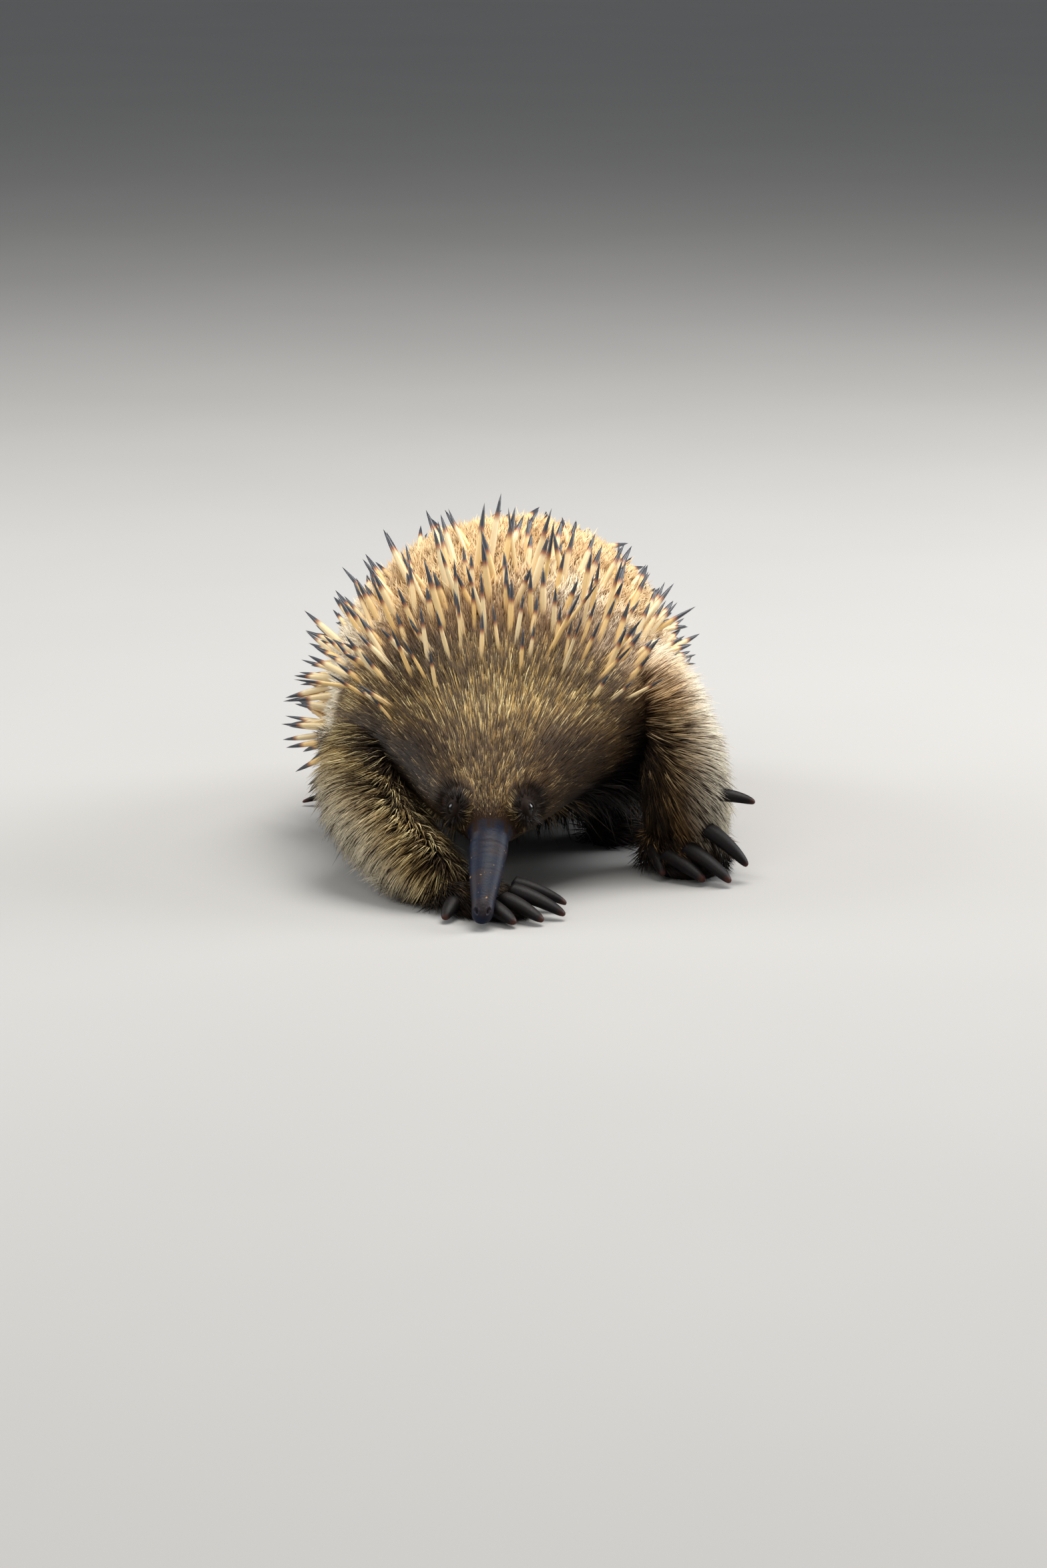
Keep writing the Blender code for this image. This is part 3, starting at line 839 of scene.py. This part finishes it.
# Kinds of hair, in the terms of grow().
HAIR = {"shares": (0.0, 0.5, 1.0), "taper": (0.85, 1.0), "rise": 0.35, "waves": 0.5, "curl": 0.03,
        "spread": 0.08, "unruly": 0.22, "vary": 0.2, "clump": 0.5, "lock_size": 2.2, "lock_tone": 0.4,
        "droop": 0.04, "tone": (0.1, 1.0)}
# Painted shade: needles take low tones, so the underfur is drawn darker than the hair over it, as shade
# deep in the coat.
NEEDLE = {**HAIR, "shares": (0.0, 1.0), "taper": (1.0,), "clump": 0.35, "rise": 1.0, "tone": (0.0, 0.45)}
FACE_HAIR = {**HAIR, "rise": 0.3, "spread": 0.04, "unruly": 0.2, "curl": 0.02, "lock_size": 2.2}
BELLY_HAIR = {**HAIR, "rise": 1.2, "spread": 0.3, "unruly": 0.4, "droop": 0.35, "lock_size": 4.0}
WOOL = {**HAIR, "rise": 0.8, "waves": 0.6, "curl": 0.08, "spread": 0.5, "unruly": 0.35, "clump": 0.3,
        "lock_size": 4.0, "lock_tone": 0.3, "droop": 0.0, "tone": (0.35, 1.0)}
# Painted shade: the wool's needles also take lower tones than the wool over them.
WOOL_NEEDLE = {**NEEDLE, "spread": 0.9, "tone": (0.3, 0.8)}
LIMB_HAIR = {**HAIR, "rise": 0.5, "clump": 0.55, "lock_size": 2.4, "spread": 0.14}


def by_place(sheet, table):
    """A grid field that follows a table of (place, value), linear between its rows."""
    table = np.array(table)
    return np.interp(sheet.place, table[:, 0], table[:, 1])


def body_flow(sheet):
    """The lie of the coat: back along the body, down the flanks and away from the eyes."""
    flow = sheet.along.copy()
    flank = smooth(0.9, 0.2, np.abs(np.sin(sheet.turn))) * smooth(120, 200, sheet.place)
    flow = flow + np.array([0, 0, -0.35]) * flank[..., None]
    for middle, _ in EYES.values():
        away = sheet.points - middle
        reach = np.linalg.norm(away, axis=-1, keepdims=True)
        flow = flow + away / np.maximum(reach, 0.1) * 2.2 * smooth(12, 4.5, reach)
    return unit(flow)


# The lie of the coat high up a limb and low down it: height and direction of each.
LIMB_LIE = {
    "fore_leg_right": ((85, (-1.0, 0.4, -0.35)), (30, (-0.5, 0.0, -1.0))),
    "fore_leg_left": ((95, (1.0, 0.6, 0.3)), (26, (0.7, -0.1, -0.9))),
    "hind_leg_right": ((60, (-0.35, 0.5, -0.6)), (15, (-0.35, 0.2, -0.9))),
    "hind_leg_left": ((60, (0.35, 0.5, -0.6)), (15, (0.35, 0.2, -0.9))),
}


def limb_flow(sheet, high, low):
    """The lie of a limb's coat, turning from its high to its low direction down the limb."""
    share = smooth(high[0], low[0], sheet.points[..., 2])[..., None]
    return unit(np.array(high[1]) * (1 - share) + np.array(low[1]) * share)


# How near strands may start to what buries the skin: in half sections of the body, in radii of a
# limb from the foot or the body, as a share of the leg's length, and in millimetres from an eye.
LEG_OUT_OF_BODY = 0.78
LEG_END = 0.95
FOOT_OUT_OF_LEG = 0.3
BODY_OUT_OF_LEG = 0.48
CLEAR_OF_EYE = 4.3


def prepare_sheets():
    """All skin surfaces, with the lie of the coat and what of each is buried in the others."""
    sheets = {"body": body_sheet()}
    for name, rows in LIMBS.items():
        sheets[name] = limb_sheet(rows)
    for name, sizes in FEET.items():
        sheets[name] = foot_sheet(*sizes)
    body = sheets["body"]
    body.flow = body_flow(body)
    body.open = np.ones(body.points.shape[:2])
    for name, rows in LIMBS.items():
        outward = 1.0 if name.endswith("left") else -1.0
        leg, foot = sheets[name], sheets[name.replace("leg", "foot")]
        leg.flow = limb_flow(leg, *LIMB_LIE[name])
        foot.flow = unit(foot.along + np.array([outward * 0.2, 0, -0.25]))
        flat = leg.points.reshape(-1, 3)
        out = body_reach(flat)[1].reshape(leg.points.shape[:2])
        leg.open = (out > LEG_OUT_OF_BODY) * (leg.place < LEG_END)
        near = limb_reach(foot.points.reshape(-1, 3), rows).reshape(foot.points.shape[:2])
        foot.open = (near > FOOT_OUT_OF_LEG) * (foot.normals[..., 2] > -0.15) * (foot.points[..., 2] > 1.0)
        near = limb_reach(body.points.reshape(-1, 3), rows).reshape(body.points.shape[:2])
        body.open *= near > BODY_OUT_OF_LEG
    for middle, _ in EYES.values():
        reach = np.linalg.norm(body.points - middle, axis=-1)
        body.open *= reach > CLEAR_OF_EYE
    return sheets


# The coat, piece by piece

# Length, lift in radians and width of the hair at places along the body.
BODY_LENGTH = ((50, 1.2), (55, 3.2), (62, 6.5), (74, 12.0), (92, 17.0), (114, 20.0), (136, 16.0),
               (161, 10.5), (195, 9.5), (260, 9.5), (330, 11.0), (366, 11.0))
BODY_LIFT = ((50, 0.24), (62, 0.28), (92, 0.32), (114, 0.38), (136, 0.50), (161, 0.75), (195, 0.90),
             (300, 0.85), (366, 0.65))
BODY_WIDTH = ((50, 0.24), (62, 0.38), (92, 0.56), (136, 0.60), (195, 0.58), (366, 0.60))

# How much closer together the face's strands stand, and the places where parts of the coat begin.
FACE_FINENESS = ((53, 5.0), (66, 3.2), (96, 1.5), (125, 1.0))
BELLY_START = 100
NECK_START = 118
BACK_START = 158
REAR_BACK_START = 232


def window(values, low, high, edge):
    """1 between low and high, fading to 0 over the edge beyond them."""
    return smooth(low - edge, low, values) * smooth(high + edge, high, values)


def body_style(sheet, kind, length, width, lift):
    """A style with the body's grid fields: longer and flatter hair towards the belly."""
    low = smooth(0.4, -0.7, np.sin(sheet.turn))
    return {
        **kind,
        "length": by_place(sheet, BODY_LENGTH) * (1 + 0.45 * low) * length,
        "width": by_place(sheet, BODY_WIDTH) * width,
        "lift": by_place(sheet, BODY_LIFT) * (1 - 0.35 * low) * lift,
    }


def limb_style(sheet, kind, top, end, width, lift):
    """A style whose hair shortens from the top of a limb to its end."""
    share = smooth(0.1, 1.0, sheet.place)
    return {
        **kind,
        "length": top + (end - top) * share,
        "width": np.full(sheet.place.shape, width),
        "lift": np.full(sheet.place.shape, lift),
    }


def body_areas(body):
    """The density of each part of the body's coat on the grid of the skin."""
    place, sine = body.place, np.sin(body.turn)
    fine = by_place(body, FACE_FINENESS)
    neck = window(place, NECK_START, BACK_START, 8) * body.open
    behind = window(place, BACK_START, BODY_END, 8)
    back = behind * smooth(-0.15, 0.1, sine) * body.open
    return {
        "face": window(place, FUR_LINE, NECK_START, 3) * fine * body.open,
        "neck": neck * (0.4 + 0.6 * smooth(-0.9, -0.2, sine)),
        "front_back": back * window(place, BACK_START, REAR_BACK_START, 2),
        "rear_back": back * window(place, REAR_BACK_START, BODY_END, 2),
        "side": behind * smooth(0.1, -0.15, sine) * smooth(-0.75, -0.45, sine) * body.open,
        "belly": window(place, BELLY_START, BODY_END, 4) * smooth(-0.35, -0.65, sine) * body.open,
    }


# Pieces of the body's coat: area, stretch of the UV map, slot, and growths of so many strands of
# a kind with their shares of the body's length, width and lift.
BODY_COAT = {
    "face_underfur": ("face", (50, 128), "head_fur", ((36000, NEEDLE, 0.7, 0.9, 1.0),)),
    "face_hair": ("face", (50, 128), "head_fur", ((19500, FACE_HAIR, 1.0, 1.0, 1.0),)),
    "shoulder_hair": ("neck", (100, 175), "back_fur", (
        (13000, HAIR, 1.0, 1.0, 1.0), (15000, NEEDLE, 0.75, 1.05, 1.2),
    )),
    "back_wool_1": ("front_back", (150, BODY_END), "back_fur", (
        (10500, WOOL, 1.0, 1.4, 1.0), (15000, WOOL_NEEDLE, 0.75, 1.5, 1.0),
    )),
    "back_wool_2": ("rear_back", (150, BODY_END), "back_fur", (
        (9500, WOOL, 1.0, 1.4, 1.0), (15000, WOOL_NEEDLE, 0.75, 1.5, 1.0),
    )),
    "flank_hair": ("side", (150, BODY_END), "back_fur", (
        (12000, {**HAIR, "spread": 0.3}, 1.1, 1.25, 1.0),
        (9000, {**NEEDLE, "spread": 0.4}, 0.9, 1.4, 1.0),
    )),
    "belly_hair": ("belly", (100, BODY_END), "leg_fur", (
        (6000, BELLY_HAIR, 1.25, 1.6, 1.0), (6000, {**NEEDLE, "spread": 0.3}, 0.8, 2.0, 1.0),
    )),
}


def row_share(body, place):
    """The share of the skin's rows that lie before a place."""
    rows = len(body.place)
    return np.interp(place, body.place[:, 0], np.arange(rows) / rows)


def make_body_coat(body, fur):
    """The coat of head and trunk, piece by piece."""
    areas = body_areas(body)
    rng = np.random.default_rng(11)
    for name, (area, places, slot, growths) in BODY_COAT.items():
        stretch = [row_share(body, place) for place in places]
        coat_piece(name, [
            grow(body, count, areas[area], body_style(body, kind, *sizes), rng, stretch)
            for count, kind, *sizes in growths
        ], fur)


# Hairs, needles, length at the top and at the end, and width of a limb's coat.
LIMB_COATS = {"fore": (8200, 4500, 20.0, 17.0, 0.55), "hind": (3000, 2500, 16.0, 13.0, 0.75)}


def make_limb_coat(sheets, fur):
    """Long hair down each limb and short hair over its foot, one piece a limb."""
    rng = np.random.default_rng(23)
    for name in LIMBS:
        hairs, needles, top, end, width = LIMB_COATS[name[:4]]
        leg, foot = sheets[name], sheets[name.replace("leg", "foot")]
        growths = (
            (leg, hairs, LIMB_HAIR, top, end, width, 0.56),
            (leg, needles, NEEDLE, top * 0.7, end * 0.7, width * 1.1, 0.55),
            (foot, hairs // 4, LIMB_HAIR, 17.0, 10.0, width * 0.9, 0.4),
            (foot, needles // 3, NEEDLE, 5.0, 3.0, width, 0.35),
        )
        coat_piece(name.replace("leg", "limb") + "_hair", [
            grow(sheet, count, sheet.open, limb_style(sheet, kind, *sizes), rng)
            for sheet, count, kind, *sizes in growths
        ], fur)


# Places of a spine's rings along it and their widths, then the bands that its pieces cover:
# from and to a place, how many spines and the seed.
SPINE_SHARES = (0.0, 0.22, 0.45, 0.62, 0.76, 0.89, 1.0)
SPINE_TAPER = (0.8, 1.0, 1.0, 0.86, 0.66, 0.38)
SPINE_BANDS = ((100, 215, 270, 5), (215, BODY_END, 350, 8))
SPINE_SIDES = 7
SPINE_PATCH = (0.004, 0.012)


def make_spines(body, material):
    """Spines: nearly straight, leaning back more on the top than on the flanks."""
    place, sine = body.place, np.sin(body.turn)
    area = smooth(114, 126, place + 10 * np.abs(np.cos(body.turn))) * smooth(-0.8, -0.65, sine)
    area = area * np.maximum(body.open, smooth(150, 165, place) * smooth(0.15, 0.3, sine))
    area = area * np.maximum(smooth(165, 190, place), smooth(0.35, 0.55, sine))
    low = smooth(0.8, 0.3, sine)
    woolly = window(place, 195, 225, 25) * smooth(0.45, 0.8, sine)
    area = area * (1.0 + 0.6 * low) * (1 - 0.75 * woolly)
    top_lean = np.interp(place, (112, 160, 195, 215, 290, 345), (0.58, 0.48, 0.28, 0.19, 0.18, 0.28))
    side_lean = np.interp(place, (112, 160, 250, 300, 345), (0.60, 0.68, 0.66, 0.45, 0.35))
    left = low * smooth(0.3, 0.9, np.cos(body.turn)) * smooth(260, 220, place)
    length = np.interp(place, (112, 130, 165, 230, 290, 345, BODY_END), (20, 29, 34, 32, 31, 22, 15))
    style = {
        **HAIR, "shares": SPINE_SHARES, "taper": SPINE_TAPER, "rise": 1.05, "curl": 0.012, "spread": 0.2,
        "unruly": 0.16, "clump": 0.0, "droop": 0.0, "waves": 0.3, "lock_size": 12.0, "vary": 0.18,
        "length": length * (1 - 0.35 * left),
        "width": np.interp(place, (112, 135, 165, BODY_END), (1.7, 2.6, 3.1, 2.6)),
        "lift": top_lean * (1 - low) + side_lean * low,
    }
    stretch = (row_share(body, 105), 1.0)
    for number, (low, high, count, seed) in enumerate(SPINE_BANDS, start=1):
        rng = np.random.default_rng(seed)
        band = area * (place >= low) * (place < high)
        coat_piece(f"spines_{number}", [grow(body, count, band, style, rng, stretch)],
                   material, SPINE_SIDES, SPINE_PATCH)


# Claws and eyes

def claw_points(root, tip, half_width):
    """A blade from root to tip: an arched middle line, rings wider than deep and flat beneath."""
    ahead = unit(tip - root)
    side = unit(np.cross(ahead, UPWARD))
    up = np.cross(side, ahead)
    length = np.linalg.norm(tip - root)
    end = 1 - 0.2 * np.linspace(1, 0, 9)[1:] ** 2
    along = np.concatenate([np.linspace(-CLAW_BURIED, 0.8, 22), end])
    arch = CLAW_ARCH * length * 4 * along * (1 - along)
    middle = root + (tip - root) * along[:, None] + up * arch[:, None]
    taper = np.clip(1 - along, 0, 1) ** CLAW_BLUNTNESS
    turn = np.linspace(0, 2 * math.pi, 20, endpoint=False)[None, :]
    sine = np.sin(turn)
    depth = np.where(sine > 0, CLAW_DEPTH_ABOVE, CLAW_DEPTH_BELOW)
    depth = depth * np.abs(sine) ** 0.9 * np.sign(sine)
    points = (
        middle[:, None]
        + side * (np.cos(turn) * half_width * taper[:, None])[..., None]
        + up * (depth * half_width * taper[:, None])[..., None]
    )
    points[..., 2] = np.maximum(points[..., 2], LOWEST_CLAW)
    return close_ends(points), along


def stepped(start, length, heading):
    """The (x, y) that lies a length away from a start, in degrees from -Y to +X."""
    heading = math.radians(heading)
    return start[0] + length * math.sin(heading), start[1] - length * math.cos(heading)


def make_claws(material):
    """Each claw in its place round the foot, as a piece of its own."""
    for foot, (middle, radius, rows) in CLAWS.items():
        for number, (place, heading, root_height, tip_height, length) in enumerate(rows, start=1):
            level = math.sqrt(length**2 - (root_height - tip_height) ** 2)
            root = np.array([*stepped(middle, radius, place), root_height])
            tip = np.array([*stepped(root, level, heading), tip_height])
            half_width = CLAW_HALF_WIDTH[foot[:4]] * CLAW_SIZE_BY_DIGIT[number - 1]
            points, along = claw_points(root, tip, half_width)
            node = f"{foot}_{number}"
            claw = sheet_piece(node + "_horn", Sheet(points))
            grid = np.repeat(along[1:-1], points.shape[1])
            set_fields(claw.data, {"along": np.concatenate([along[:1], grid, along[-1:]])})
            claw.data.materials.append(material)
            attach(claw, "root")
            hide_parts(node)


def make_eyes(material):
    """Round eyeballs: middle + radius (sin(polar) round + cos(polar) axis)."""
    for side, (middle, axis) in EYES.items():
        axis, level, upright = eye_axes(axis)
        polar = np.linspace(0, math.pi, 28)[:, None]
        turn = np.linspace(0, 2 * math.pi, 48, endpoint=False)[None, :]
        points = (
            middle
            + level * (np.sin(polar) * np.cos(turn) * EYE_RADIUS)[..., None]
            + upright * (np.sin(polar) * np.sin(turn) * EYE_RADIUS)[..., None]
            + axis * (np.cos(polar) * np.ones_like(turn) * EYE_RADIUS)[..., None]
        )
        eye = sheet_piece(f"eyeball_{side}", Sheet(points))
        eye.data.materials.append(material)
        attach(eye, "root")
        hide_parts(f"eye_{side}")


# Materials

class Value:
    """One output of a material's node. Plain sums on it add Math nodes."""

    def __init__(self, paint, socket):
        self.paint = paint
        self.socket = socket

    def math(self, operation, first, second):
        return self.paint.add("ShaderNodeMath", {"operation": operation}, {0: first, 1: second})

    def __add__(self, other):
        return self.math("ADD", self, other)

    def __radd__(self, other):
        return self.math("ADD", other, self)

    def __sub__(self, other):
        return self.math("SUBTRACT", self, other)

    def __rsub__(self, other):
        return self.math("SUBTRACT", other, self)

    def __mul__(self, other):
        return self.math("MULTIPLY", self, other)


class Paint:
    """The nodes of one material."""

    def __init__(self, name):
        self.material = bpy.data.materials.new(name)
        self.material.use_nodes = True
        self.tree = self.material.node_tree
        self.tree.nodes.clear()

    def add(self, kind, settings=None, inputs=None, output=0):
        """A node with its settings and inputs, given back as one of its outputs."""
        node = self.tree.nodes.new(kind)
        for key, value in (settings or {}).items():
            setattr(node, key, value)
        for key, value in (inputs or {}).items():
            if isinstance(value, Value):
                self.tree.links.new(value.socket, node.inputs[key])
            else:
                node.inputs[key].default_value = value
        return Value(self, node.outputs[output]) if node.outputs else None

    def attributes(self, *names):
        """The named values of the mesh."""
        return [
            self.add("ShaderNodeAttribute", {"attribute_name": name}, output="Fac") for name in names
        ]

    def noise(self, scale, detail):
        """Cloudy noise over the object's own coordinates, with so many cells to a metre."""
        place = self.add("ShaderNodeTexCoord", output="Object")
        inputs = {"Vector": place, "Scale": scale, "Detail": detail}
        return self.add("ShaderNodeTexNoise", None, inputs)

    def mix(self, one, two, factor):
        """One colour at factor 0, the other at 1."""
        settings = {"data_type": "RGBA", "clamp_factor": True}
        return self.add("ShaderNodeMix", settings, {0: factor, 6: one, 7: two}, output=2)

    def ramp(self, value, low, high):
        """0 at low and 1 at high, smoothly between."""
        inputs = {"Value": value, "From Min": low, "From Max": high}
        return self.add("ShaderNodeMapRange", {"interpolation_type": "SMOOTHSTEP"}, inputs)

    def bump(self, height, strength, distance):
        """A normal tilted by a height."""
        inputs = {"Height": height, "Strength": strength, "Distance": distance}
        return self.add("ShaderNodeBump", None, inputs)

    def finish(self, **inputs):
        """The material, with one surface shader that takes the inputs."""
        named = {key.replace("_", " "): value for key, value in inputs.items()}
        shader = self.add("ShaderNodeBsdfPrincipled", None, named)
        self.add("ShaderNodeOutputMaterial", None, {"Surface": shader})
        return self.material


def shade(red, green, blue):
    """A colour given as screen values from 0 to 255, turned into linear light."""
    parts = np.array([red, green, blue]) / 255.0
    linear = np.where(parts <= 0.04045, parts / 12.92, ((parts + 0.055) / 1.055) ** 2.4)
    return (*linear.tolist(), 1.0)


COLOURS = {name: shade(*screen) for name, screen in {
    "wool": (194, 154, 102),
    "wool_light": (236, 208, 162),
    "wool_deep": (98, 66, 40),
    # Painted shade of the wool's depths, for the skin under it.
    "wool_depth_shade": (132, 96, 60),
    "gold_and_highlight": (194, 158, 90),
    "gold_light": (255, 236, 178),
    "cream": (255, 246, 224),
    "brown": (118, 82, 44),
    "brown_light": (184, 146, 94),
    "deep": (48, 31, 18),
    "umber": (66, 46, 22),
    "black": (26, 19, 15),
    "bill": (12, 21, 40),
    "bill_warm": (34, 27, 32),
    "horn": (9, 10, 15),
    "horn_tip": (72, 42, 34),
    "spine": (236, 212, 164),
    "spine_warm": (232, 192, 122),
    "spine_band": (150, 88, 44),
    "spine_tip": (32, 36, 46),
}.items()}


def fur_material():
    """Hair from a deep root to a lighter tip, recoloured by the markings and each strand's tone. The
    markings carry painted highlight and painted shade as well as the hair's own colours.
    """
    paint = Paint("fur")
    along, tone, pale_and_highlight, dark_and_shade, gold_and_highlight, wool = paint.attributes(
        "along", "tone", "pale_and_highlight", "dark_and_shade", "gold_and_highlight", "wool"
    )
    patches = paint.ramp(paint.noise(45.0, 3.0), 0.35, 0.65)
    light = paint.ramp(tone + patches * 0.3, 0.55, 1.15)
    brown = paint.mix(COLOURS["brown"], COLOURS["brown_light"], light)
    woolly = paint.mix(COLOURS["wool"], COLOURS["wool_light"], light)
    golden = paint.mix(COLOURS["gold_and_highlight"], COLOURS["gold_light"], paint.ramp(tone, 0.45, 0.85))
    end = paint.mix(paint.mix(brown, woolly, wool), golden, gold_and_highlight)
    end = paint.mix(end, COLOURS["cream"], pale_and_highlight * paint.ramp(tone + patches * 0.3, 0.1, 0.6))
    streak = paint.ramp(tone, 0.42, 0.30) * (0.9 - wool * 0.5)
    end = paint.mix(end, COLOURS["deep"], streak)
    # Painted shade and dark hair: umber, then black, where the dark share is high.
    end = paint.mix(end, COLOURS["umber"], paint.ramp(dark_and_shade + (0.5 - tone) * 0.9, 0.1, 0.75))
    end = paint.mix(end, COLOURS["black"], paint.ramp(dark_and_shade + (0.5 - tone) * 0.25, 0.55, 0.95))
    root = paint.mix(COLOURS["deep"], COLOURS["wool_deep"], wool)
    root = paint.mix(root, COLOURS["black"], dark_and_shade)
    colour = paint.mix(root, end, paint.ramp(along + gold_and_highlight * 0.25 + (tone - 0.5) * 0.5, 0.25, 0.8))
    return paint.finish(Base_Color=colour, Roughness=0.55, Specular_IOR_Level=0.22)


def spine_material():
    """Ivory shaft, an orange-brown band and a black tip."""
    paint = Paint("spine_horn")
    along, tone = paint.attributes("along", "tone")
    at = along + (tone - 0.5) * 0.16
    shaft = paint.mix(COLOURS["spine"], COLOURS["spine_warm"], paint.ramp(tone, 0.3, 0.85))
    colour = paint.mix(shaft, COLOURS["spine_band"], paint.ramp(at, 0.58, 0.69))
    colour = paint.mix(colour, COLOURS["spine_tip"], paint.ramp(at, 0.66, 0.74))
    return paint.finish(Base_Color=colour, Roughness=0.42, Coat_Weight=0.1)


def skin_material():
    """Dark creased leather where the skin is bare, and elsewhere the coat's colours in painted shadow, as
    deep in the coat.
    """
    paint = Paint("skin")
    bare, pale_and_highlight, dark_and_shade, gold_and_highlight, wool = paint.attributes("bare", "pale_and_highlight", "dark_and_shade", "gold_and_highlight", "wool")
    fine = paint.noise(900.0, 3.0)
    broad = paint.noise(110.0, 3.0)
    # Painted shade: under the coat the skin follows the markings in the dark colours of the coat's depths,
    # so gaps between strands read as shadow.
    under_shade = paint.mix(COLOURS["deep"], COLOURS["wool_depth_shade"], wool)
    under_shade = paint.mix(under_shade, COLOURS["deep"], gold_and_highlight)
    under_shade = paint.mix(under_shade, COLOURS["brown"], pale_and_highlight * 0.6)
    under_shade = paint.mix(under_shade, COLOURS["black"], dark_and_shade)
    under_shade = paint.mix(under_shade, COLOURS["deep"], fine * 0.2)
    leather = paint.mix(COLOURS["bill"], COLOURS["bill_warm"], paint.ramp(broad, 0.42, 0.62))
    leather = paint.mix(leather, COLOURS["black"], paint.ramp(fine, 0.42, 0.30) * 0.6)
    flecks = paint.ramp(paint.noise(420.0, 2.0), 0.70, 0.76)
    leather = paint.mix(leather, COLOURS["brown_light"], flecks * 0.7)
    height = fine + paint.noise(2600.0, 2.0) * 0.4
    colour = paint.mix(under_shade, leather, bare)
    rough = 0.85 - bare * 0.35 + flecks * 0.2
    normal = paint.bump(height, 0.55, 0.0002)
    return paint.finish(Base_Color=colour, Roughness=rough, Normal=normal, Specular_IOR_Level=0.14)


def claw_material():
    """Grey-black horn with a red-brown tip and faint lengthwise grain."""
    paint = Paint("claw_horn")
    (along,) = paint.attributes("along")
    cloud = paint.noise(220.0, 3.0)
    grain = paint.noise(1500.0, 2.0)
    colour = paint.mix(COLOURS["horn"], COLOURS["black"], cloud)
    colour = paint.mix(colour, COLOURS["horn_tip"], paint.ramp(along + cloud * 0.2, 0.95, 1.15))
    return paint.finish(Base_Color=colour, Roughness=0.40 + grain * 0.22,
                        Normal=paint.bump(grain, 0.3, 0.0002), Specular_IOR_Level=0.14)


def eye_material():
    """A wet, nearly black eye with a faint brown cloud."""
    paint = Paint("eye_wet")
    cloud = paint.noise(300.0, 2.0)
    colour = paint.mix(shade(8, 6, 6), shade(24, 16, 12), cloud * 0.6)
    return paint.finish(Base_Color=colour, Roughness=0.2, Specular_IOR_Level=0.12, Coat_Weight=0.35,
                        Coat_Roughness=0.02)


def floor_material():
    """Plain pale grey with a faint cloud."""
    paint = Paint("studio_floor")
    cloud = paint.noise(3.0, 3.0)
    colour = paint.mix(shade(160, 159, 157), shade(167, 166, 164), cloud)
    return paint.finish(Base_Color=colour, Roughness=0.75)


# Studio

# The point that the camera looks at, and how far and how high above the level it stands.
AIM = np.array([2.6, 50.0, 56.0])
VIEW_DISTANCE = 1960.0
VIEW_ELEVATION = math.radians(13.0)
FLOOR_HALF = 30000.0
WORLD_COLOUR = (0.86, 0.89, 0.93, 1.0)
WORLD_STRENGTH = 0.25


def make_camera():
    """A long lens straight in front of the animal, looking down at it as the photo does."""
    back = np.array([0.0, -math.cos(VIEW_ELEVATION), math.sin(VIEW_ELEVATION)])
    data = bpy.data.cameras.new("camera")
    data.lens = 100.0
    data.sensor_width = 36.0
    data.clip_start = 0.05
    data.clip_end = 200.0
    camera = bpy.data.objects.new("camera", data)
    camera.location = placed(AIM + back * VIEW_DISTANCE)
    camera.rotation_euler = (math.pi / 2 - VIEW_ELEVATION, 0.0, 0.0)
    bpy.context.scene.collection.objects.link(camera)
    bpy.context.scene.camera = camera


def make_floor():
    """One wide square at the height that the feet stand on."""
    corners = ((-1, -1, 0), (1, -1, 0), (1, 1, 0), (-1, 1, 0))
    points = np.array(corners) * FLOOR_HALF + MIDDLE
    floor = mesh_piece("studio_floor", points, [np.array([[0, 1, 2, 3]])], smooth_shading=False)
    floor.data.materials.append(floor_material())


# Soft boxes: place and size in metres, power in watts, colour.
LIGHTS = (
    ("key_softbox", (-0.8, -1.6, 1.7), 1.4, 17.0, (1.0, 0.97, 0.92)),
    ("top_softbox", (0.3, 0.45, 2.0), 1.5, 60.0, (1.0, 0.97, 0.93)),
    ("rim_softbox_left", (1.7, 0.7, 1.0), 1.0, 32.0, (0.97, 0.98, 1.0)),
    ("rim_softbox_right", (-1.8, 0.5, 1.1), 1.0, 22.0, (0.95, 0.98, 1.0)),
)


def make_lights():
    """Square soft boxes aimed at the animal, and a dim, even sky."""
    for name, place, size, power, colour in LIGHTS:
        data = bpy.data.lights.new(name, "AREA")
        data.size = size
        data.energy = power
        data.color = colour
        light = bpy.data.objects.new(name, data)
        light.location = place
        direction = np.array([0.0, 0.0, 0.05]) - np.array(place)
        yaw = math.atan2(direction[0], -direction[1])
        pitch = math.atan2(math.hypot(direction[0], direction[1]), -direction[2])
        light.rotation_euler = (pitch, 0.0, yaw + math.pi)
        bpy.context.scene.collection.objects.link(light)
    world = bpy.data.worlds.new("studio")
    world.use_nodes = True
    background = world.node_tree.nodes["Background"]
    background.inputs["Color"].default_value = WORLD_COLOUR
    background.inputs["Strength"].default_value = WORLD_STRENGTH
    bpy.context.scene.world = world
    bpy.context.scene.view_settings.view_transform = "Standard"


# The nodes that the one skin takes the place of.
FLESH = ("bill", "head", "neck", "trunk", "rump", "tail", *LIMBS, *FEET)


def main():
    """Skin, eyes, claws, coat and spines, then the studio."""
    sheets = prepare_sheets()
    skin = joined_skin(sheets)
    skin.data.materials.clear()
    skin.data.materials.append(skin_material())
    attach(skin, "root")
    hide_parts(*FLESH)
    fur = fur_material()
    make_eyes(eye_material())
    make_claws(claw_material())
    make_body_coat(sheets["body"], fur)
    make_limb_coat(sheets, fur)
    make_spines(sheets["body"], spine_material())
    make_floor()
    make_lights()
    make_camera()


main()
